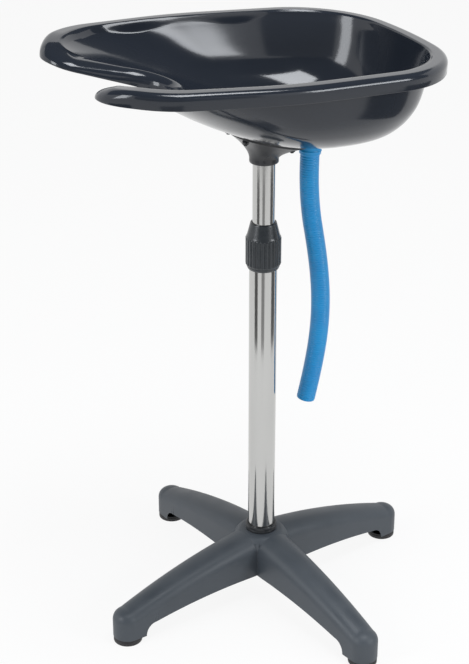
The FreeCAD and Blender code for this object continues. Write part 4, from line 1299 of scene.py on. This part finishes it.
    @staticmethod
    def to_row(grid: Array, turn: float) -> Array:
        """Turns a grid about the column's axis and moves it to the row frame in metres.

        Args:
            grid: points about the column's axis (mm).
            turn: the turn in radians.

        Returns:
            The same grid in the row frame.
        """
        cos, sin = math.cos(turn), math.sin(turn)
        x = COLUMN_X + (grid[..., 0] * cos - grid[..., 1] * sin) * MM
        y = (grid[..., 0] * sin + grid[..., 1] * cos) * MM
        return np.stack([x, y, grid[..., 2] * MM], axis=-1)

    def glide(self, number: int) -> bpy.types.Object:
        """One foot: a rounded puck with a shallow tread ring, sized by its CAD node.

        Args:
            number: which foot, from 1.

        Returns:
            The foot.
        """
        node = f"floor_glide_{number}"
        low, high = node_box(node)
        centre = (low + high) / 2.0
        radius, top = node_radius(node), high[2]
        profile = np.array([
            (0.0, 0.0), (radius, 0.0), (radius, 0.62 * top), (radius - 0.6 * MM, 0.7 * top),
            (radius - 0.6 * MM, top), (0.0, top),
        ])
        points = rounded(profile, np.array([0.1, 1.6, 0.5, 0.4, 0.6, 0.1]) * MM)
        return shell(f"foot_{number}", lathe(points, 96, centre[0], centre[1]), GLIDE_PLASTIC, Body.BASE, node)

    def build(self) -> None:
        """Builds the base's pieces."""
        self.moulding()
        for number in range(1, self.legs + 1):
            self.glide(number)


# ---------------------------------------------------------------- bracket and drain
@dataclass
class Fittings:
    """Bracket bolts, drain fitting and hidden hardware, as welded copies of their solids."""

    def build(self) -> None:
        """Dresses each fitting."""
        copies = (
            ("bracket_screws", "bowl_bolts", BLACK_PAINT, Body.BASIN),
            ("drain_strainer", "drain_grid", STAINLESS, Body.BASIN),
            ("strainer_screw", "drain_screw", STAINLESS, Body.BASIN),
            ("drain_gasket", "drain_seal", SEAL_RUBBER, Body.BASIN),
            ("drain_tailpiece", "drain_spigot", DRAIN_BLACK, Body.BASIN),
            ("tube_anchor", "column_anchor", ZINC, Body.BASE),
            ("column_bolt", "column_hex_bolt", ZINC, Body.BASE),
            ("column_washer", "column_disc", ZINC, Body.BASE),
            ("collar_collet", "collar_gripper", ACETAL, Body.BASE),
            ("upper_tube_bush", "column_bush", ACETAL, Body.GUIDE),
        )
        for node, name, finish, body in copies:
            dress(solid_copy(node, name), finish, body, node)
        for number in range(1, 5):
            node = f"glide_stem_{number}"
            dress(solid_copy(node, f"foot_stem_{number}"), ZINC, Body.BASE, node)


@dataclass
class Bracket:
    """The cast bracket: a socket on the upper tube that flares into a broad flange under the bowl (mm).

    Attributes:
        socket: the socket's radius.
        bore: radius of the tube inside it.
        foot: the socket's lower end.
        waist: where the flare begins.
        reach: half length and half width of the flange.
        rim: thickness of the flange's edge.
        around: points round it.
    """

    socket: float = 19.5
    bore: float = 15.1
    foot: float = 656.0
    waist: float = 662.0
    reach: tuple[float, float] = (52.0, 41.0)
    rim: float = 4.5
    around: int = 160

    def ceiling(self, x: Array, y: Array) -> Array:
        """Height of the bowl's outside over plan points about the column, by fixed-point turns of the lean.

        Args:
            x: places along X from the column's axis.
            y: places along Y.

        Returns:
            The height at each place.
        """
        basin = Basin()
        lean = math.radians(basin.lean)
        height = np.full_like(x, self.waist)
        for _ in range(4):
            u = x * math.cos(lean) - (height - basin.rim_height) * math.sin(lean)
            height = basin.rim_height + (basin.surface(u, y, 0.0) - x * math.sin(lean)) / math.cos(lean)
        return height

    def build(self) -> bpy.types.Object:
        """Socket, concave flare r = r0 + (r1 - r0) t^1.7 and a top that follows the bowl.

        Returns:
            The dressed bracket.
        """
        angle = full_turn(self.around)[:, None]
        cos, sin = np.cos(angle), np.sin(angle)
        edge = (np.abs(cos / self.reach[0]) ** 3.2 + np.abs(sin / self.reach[1]) ** 3.2) ** (-1.0 / 3.2)
        roof = self.ceiling(edge * cos, edge * sin) - 0.2
        t = np.linspace(0.0, 1.0, 28)[None]
        radius = self.socket + (edge - self.socket) * t**1.7
        height = self.waist + (roof - self.rim - self.waist) * t
        foot = np.array([(self.bore, self.foot), (self.socket - 1.4, self.foot), (self.socket - 0.4, self.foot + 0.5),
                         (self.socket, self.foot + 1.6)])
        top_at = np.concatenate([edge - 0.5, edge * 0.8, edge * 0.6, np.full_like(edge, self.bore)], axis=1)
        top = self.ceiling(top_at * cos, top_at * sin) - 0.2
        wide = (self.around, len(foot))
        radii = np.concatenate([np.broadcast_to(foot[:, 0], wide), radius, edge, top_at], axis=1)
        heights = np.concatenate([np.broadcast_to(foot[:, 1], wide), height, roof - 0.8, top], axis=1)
        grid = np.stack([COLUMN_X + radii * cos * MM, radii * sin * MM, heights * MM], axis=-1)
        return shell("bowl_bracket", grid, BLACK_PAINT, Body.BASIN, "mount_bracket", 50.0)


@dataclass
class Hose:
    """The blue corrugated hose and its cuff.

    Attributes:
        radius: the hose's outer radius at a ridge.
        bore: its inner radius.
        pitch: distance from ridge to ridge.
        relief: depth of a groove.
        around: points round it.
        cuff_ends: heights of the cuff's two ends in the basin's frame (mm).
        cuff_radii: the cuff's inner and outer radius (mm).
        ROUTE: control points after the start, about the column's axis (mm).
    """

    radius: float = 13.0 * MM
    bore: float = 10.4 * MM
    pitch: float = 3.4 * MM
    relief: float = 0.6 * MM
    around: int = 56
    cuff_ends: tuple[float, float] = (-152.0, -134.5)
    cuff_radii: tuple[float, float] = (11.0, 14.5)
    ROUTE = (
        (65.3, 0.0, 600.0), (81.8, -6.8, 500.0), (85.9, -8.8, 425.0), (79.1, -5.5, 350.0), (68.8, -0.4, 293.0),
    )

    def start(self) -> Array:
        """Where the hose leaves the cuff, on the drain's axis."""
        basin = Basin()
        return basin.place(np.array([basin.drain_u, 0.0, self.cuff_ends[0]]))

    def centreline(self) -> Array:
        """Points read from the route's own smooth spline.

        Returns:
            The line's points in order.
        """
        curve = bpy.data.curves.new("hose_route", "CURVE")
        curve.dimensions = "3D"
        curve.resolution_u = 48
        spline = curve.splines.new("NURBS")
        points = [tuple(self.start())] + [(COLUMN_X + x * MM, y * MM, z * MM) for x, y, z in self.ROUTE]
        spline.points.add(len(points) - 1)
        for control, point in zip(spline.points, points):
            control.co = (*point, 1.0)
        spline.order_u = 3
        spline.use_endpoint_u = True
        holder = placed("hose_route", curve)
        line = bpy.data.meshes.new_from_object(holder)
        path = np.empty(len(line.vertices) * 3)
        line.vertices.foreach_get("co", path)
        bpy.data.objects.remove(holder)
        return path.reshape(-1, 3)

    def tube(self) -> tuple[bpy.types.Object, Array]:
        """The corrugated wall: radius R - d (1 - cos(2 pi s / p)) / 2 along arc length s, round a level-turned frame.

        Returns:
            The piece and the centreline that it follows.
        """
        path = self.centreline()
        run = np.concatenate([[0.0], np.cumsum(np.linalg.norm(np.diff(path, axis=0), axis=1))])
        samples = int(round(run[-1] / self.pitch)) * 8
        s = np.linspace(0.0, run[-1], samples + 1)
        centre = np.stack([np.interp(s, run, path[:, k]) for k in range(3)], axis=1)
        along = np.gradient(centre, s, axis=0)
        along /= np.linalg.norm(along, axis=1)[:, None]
        side = np.cross(along, (0.0, 1.0, 0.0))
        side /= np.linalg.norm(side, axis=1)[:, None]
        other = np.cross(along, side)
        wave = (1.0 - np.cos(2.0 * math.pi * s / self.pitch)) / 2.0
        outer = self.radius - self.relief * wave**1.5
        angle = full_turn(self.around)
        ring = side[:, None] * np.cos(angle)[None, :, None] + other[:, None] * np.sin(angle)[None, :, None]
        skin = centre[:, None] + ring * outer[:, None, None]
        lining = centre[:, None] + ring * self.bore
        grid = np.concatenate([skin, lining[::-4]], axis=0)
        piece = mesh_of("drain_hose_tube", [Patch(grid, True, True)], 60.0)
        return piece, path

    def cuff(self) -> bpy.types.Object:
        """The cuff at the hose's top: a lathe in the basin's frame with two soft grip beads.

        Returns:
            The cuff.
        """
        basin = Basin()
        (foot, top), (inner, outer) = self.cuff_ends, self.cuff_radii
        height = np.linspace(foot, top, 60)
        share = (height - foot) / (top - foot)
        bead = sum(0.8 * np.exp(-(((share - place) / 0.07) ** 2)) for place in (0.3, 0.7))
        ends = np.clip(np.minimum(share, 1.0 - share) / 0.06, 0.0, 1.0) ** 0.5
        wall = np.stack([outer - 1.0 + ends + bead, height], axis=1)
        profile = np.concatenate([wall, [(inner, top), (inner, foot)]])
        grid = basin.place(lathe(profile, 96, basin.drain_u))
        return shell("drain_hose_cuff", grid, HOSE_BLUE, Body.BASIN, "hose_cuff")

    def build(self) -> None:
        """Builds the cuff and the hose."""
        self.cuff()
        piece, path = self.tube()
        dress(piece, HOSE_BLUE, Body.BASIN, "drain_hose")


# ---------------------------------------------------------------- stage
@dataclass
class Studio:
    """Camera, lamps, flags that paint dark reflections, world and floor.

    Attributes:
        eye: the camera's place from the column's foot.
        heading: degrees that it looks round from Y towards X.
        tilt: degrees that it looks down.
        lens: focal length (mm) on a 36 mm sensor.
        floor_half: half the floor's width.
        floor_share: how much of the floor's look is plain white where rays see it.
        fill: the world's strength for rays that only light.
        tint: the lamps' colour.
    """

    eye: tuple[float, float, float] = (-0.9434, -1.8358, 1.4055)
    heading: float = 26.13
    tilt: float = 25.76
    lens: float = 91.0
    floor_half: float = 6.0
    floor_share: float = 0.9
    fill: float = 0.42
    tint: tuple[float, float, float] = (0.93, 0.96, 1.0)

    def camera(self) -> None:
        """A level camera that looks along the heading, tilted down."""
        data = bpy.data.cameras.new("camera")
        data.lens = self.lens
        data.sensor_width = 36.0
        camera = placed("camera", data)
        heading, tilt = math.radians(self.heading), math.radians(self.tilt)
        forward = Vector((math.sin(heading) * math.cos(tilt), math.cos(heading) * math.cos(tilt), -math.sin(tilt)))
        spot = Vector((self.eye[0] + COLUMN_X, self.eye[1], self.eye[2]))
        camera.matrix_world = Matrix.Translation(spot) @ forward.to_track_quat("-Z", "Y").to_matrix().to_4x4()
        bpy.context.scene.camera = camera

    @staticmethod
    def aimed(place: tuple[float, float, float], target: tuple[float, float, float]) -> Matrix:
        """The turn and place of a lamp or flag that faces a target."""
        aim = Vector(target) - Vector(place)
        return Matrix.Translation(Vector(place)) @ aim.to_track_quat("-Z", "Y").to_matrix().to_4x4()

    @staticmethod
    def sheet(name: str, wide: float, high: float) -> tuple[bpy.types.Object, bpy.types.NodeTree]:
        """A flat rectangle of two half sizes, with its own material's nodes.

        Args:
            name: the sheet's name.
            wide: half its width.
            high: half its height.

        Returns:
            The object and its material's node tree.
        """
        mesh = bpy.data.meshes.new(name)
        corners = [(-wide, -high, 0.0), (wide, -high, 0.0), (wide, high, 0.0), (-wide, high, 0.0)]
        mesh.from_pydata(corners, [], [(0, 1, 2, 3)])
        material = bpy.data.materials.new(name)
        material.use_nodes = True
        mesh.materials.append(material)
        return placed(name, mesh), material.node_tree

    @staticmethod
    def glow(tree: bpy.types.NodeTree, tone: float) -> bpy.types.NodeSocket:
        """A grey emission.

        Args:
            tree: the material's node tree.
            tone: its brightness.

        Returns:
            The emission's socket.
        """
        light = tree.nodes.new("ShaderNodeEmission")
        light.inputs["Color"].default_value = (tone, tone, tone, 1.0)
        return light.outputs["Emission"]

    def lamp(self, name: str, place: tuple[float, float, float], target: tuple[float, float, float],
             size: tuple[float, float], power: float) -> None:
        """A softbox at a place, aimed at a target, of a size and a power in watts.

        Args:
            name: the lamp's name.
            place: where it stands.
            target: what it faces.
            size: width and height.
            power: watts.
        """
        data = bpy.data.lights.new(name, "AREA")
        data.shape = "RECTANGLE"
        data.size, data.size_y = size
        data.energy = power
        data.color = self.tint
        placed(name, data).matrix_world = self.aimed(place, target)

    @staticmethod
    def seen_rays(tree: bpy.types.NodeTree) -> bpy.types.NodeSocket:
        """1 for camera, glossy and transmission rays, so that metal shows the white background too.

        Args:
            tree: the node tree to add to.

        Returns:
            The socket that holds 1 for those rays.
        """
        rays = tree.nodes.new("ShaderNodeLightPath")
        total = rays.outputs["Is Camera Ray"]
        for kind in ("Is Glossy Ray", "Is Transmission Ray"):
            either = tree.nodes.new("ShaderNodeMath")
            either.operation = "MAXIMUM"
            tree.links.new(total, either.inputs[0])
            tree.links.new(rays.outputs[kind], either.inputs[1])
            total = either.outputs["Value"]
        return total

    def flag(self, name: str, place: tuple[float, float, float], target: tuple[float, float, float],
             size: tuple[float, float], tone: float) -> None:
        """A grey sheet that glows a fixed tone only for reflections: a painted reflection of a dark studio flag,
        which lights nothing and casts no shadow.

        Args:
            name: the flag's name.
            place: where it stands.
            target: what it faces.
            size: width and height.
            tone: brightness of its glow, the painted reflection that only reflections see.
        """
        flag, tree = self.sheet(name, size[0] / 2.0, size[1] / 2.0)
        flag.matrix_world = self.aimed(place, target)
        flag.visible_camera = flag.visible_diffuse = flag.visible_shadow = False
        tree.links.new(self.glow(tree, tone), tree.nodes["Material Output"].inputs["Surface"])

    def world(self) -> None:
        """White where the camera and reflections look past the object, a plain fill for the rest."""
        world = bpy.data.worlds.new("studio")
        bpy.context.scene.world = world
        world.use_nodes = True
        nodes, links = world.node_tree.nodes, world.node_tree.links
        background = nodes["Background"]
        background.inputs["Color"].default_value = (1.0, 1.0, 1.0, 1.0)
        seen = nodes.new("ShaderNodeMix")
        seen.inputs["A"].default_value = self.fill
        seen.inputs["B"].default_value = 1.0
        links.new(self.seen_rays(world.node_tree), seen.inputs["Factor"])
        links.new(seen.outputs["Result"], background.inputs["Strength"])

    def floor(self) -> None:
        """A pale floor that stays white to the camera and keeps the object's soft shadow."""
        floor, tree = self.sheet("studio_floor", self.floor_half, self.floor_half)
        nodes, links = tree.nodes, tree.links
        shader = nodes["Principled BSDF"]
        shader.inputs["Base Color"].default_value = (0.85, 0.85, 0.85, 1.0)
        shader.inputs["Roughness"].default_value = 0.9
        shader.inputs["Specular IOR Level"].default_value = 0.0
        share = nodes.new("ShaderNodeMath")
        share.operation = "MULTIPLY"
        share.inputs[1].default_value = self.floor_share
        links.new(self.seen_rays(tree), share.inputs[0])
        blend = nodes.new("ShaderNodeMixShader")
        links.new(share.outputs["Value"], blend.inputs["Fac"])
        links.new(shader.outputs["BSDF"], blend.inputs[1])
        links.new(self.glow(tree, 1.0), blend.inputs[2])
        links.new(blend.outputs["Shader"], nodes["Material Output"].inputs["Surface"])

    def build(self) -> None:
        """Sets the stage."""
        self.camera()
        self.world()
        self.floor()
        middle, rim = (COLUMN_X, 0.0, 0.6), (COLUMN_X, 0.0, 0.8)
        low = (0.0, 0.0, 0.23)
        # name, place, target, size, power
        for lamp in (
            ("softbox_left", (-2.4, -0.2, 1.5), middle, (0.8, 1.5), 26.0),
            ("softbox_front", (1.45, -1.95, 1.3), rim, (0.9, 0.8), 22.0),
            ("softbox_top", (0.2, -0.45, 2.6), middle, (1.0, 0.8), 30.0),
        ):
            self.lamp(*lamp)
        # painted reflections: glowing grey sheets that only glossy rays see, giving the chrome and gloss their dark
        # bands
        # name, place, target, size, tone
        for flag in (
            ("flag_behind_camera", (-1.75, -3.4, 1.3), middle, (6.0, 3.4), 0.24),
            ("flag_near", (-0.44, -0.86, 0.23), low, (0.42, 0.46), 0.34),
            ("flag_left", (-0.95, -0.12, 0.23), low, (0.46, 0.46), 0.12),
            ("flag_side", (0.82, -0.48, 0.23), low, (0.60, 0.46), 0.14),
            ("flag_right", (2.9, -2.2, 1.7), rim, (2.8, 2.8), 0.12),
            ("flag_ceiling", (0.0, -0.3, 3.2), (0.0, -0.3, 0.0), (7.5, 7.5), 0.10),
        ):
            self.flag(*flag)
        bpy.context.scene.view_settings.view_transform = "Standard"


def main() -> None:
    """Builds every sub-assembly in order."""
    logging.basicConfig(level=logging.INFO, format="%(name)s %(message)s")
    Studio().build()
    Hose().build()
    Base().build()
    Column().build()
    Collar().build()
    Fittings().build()
    Bracket().build()
    Basin().build()


if __name__ == "__main__":
    main()
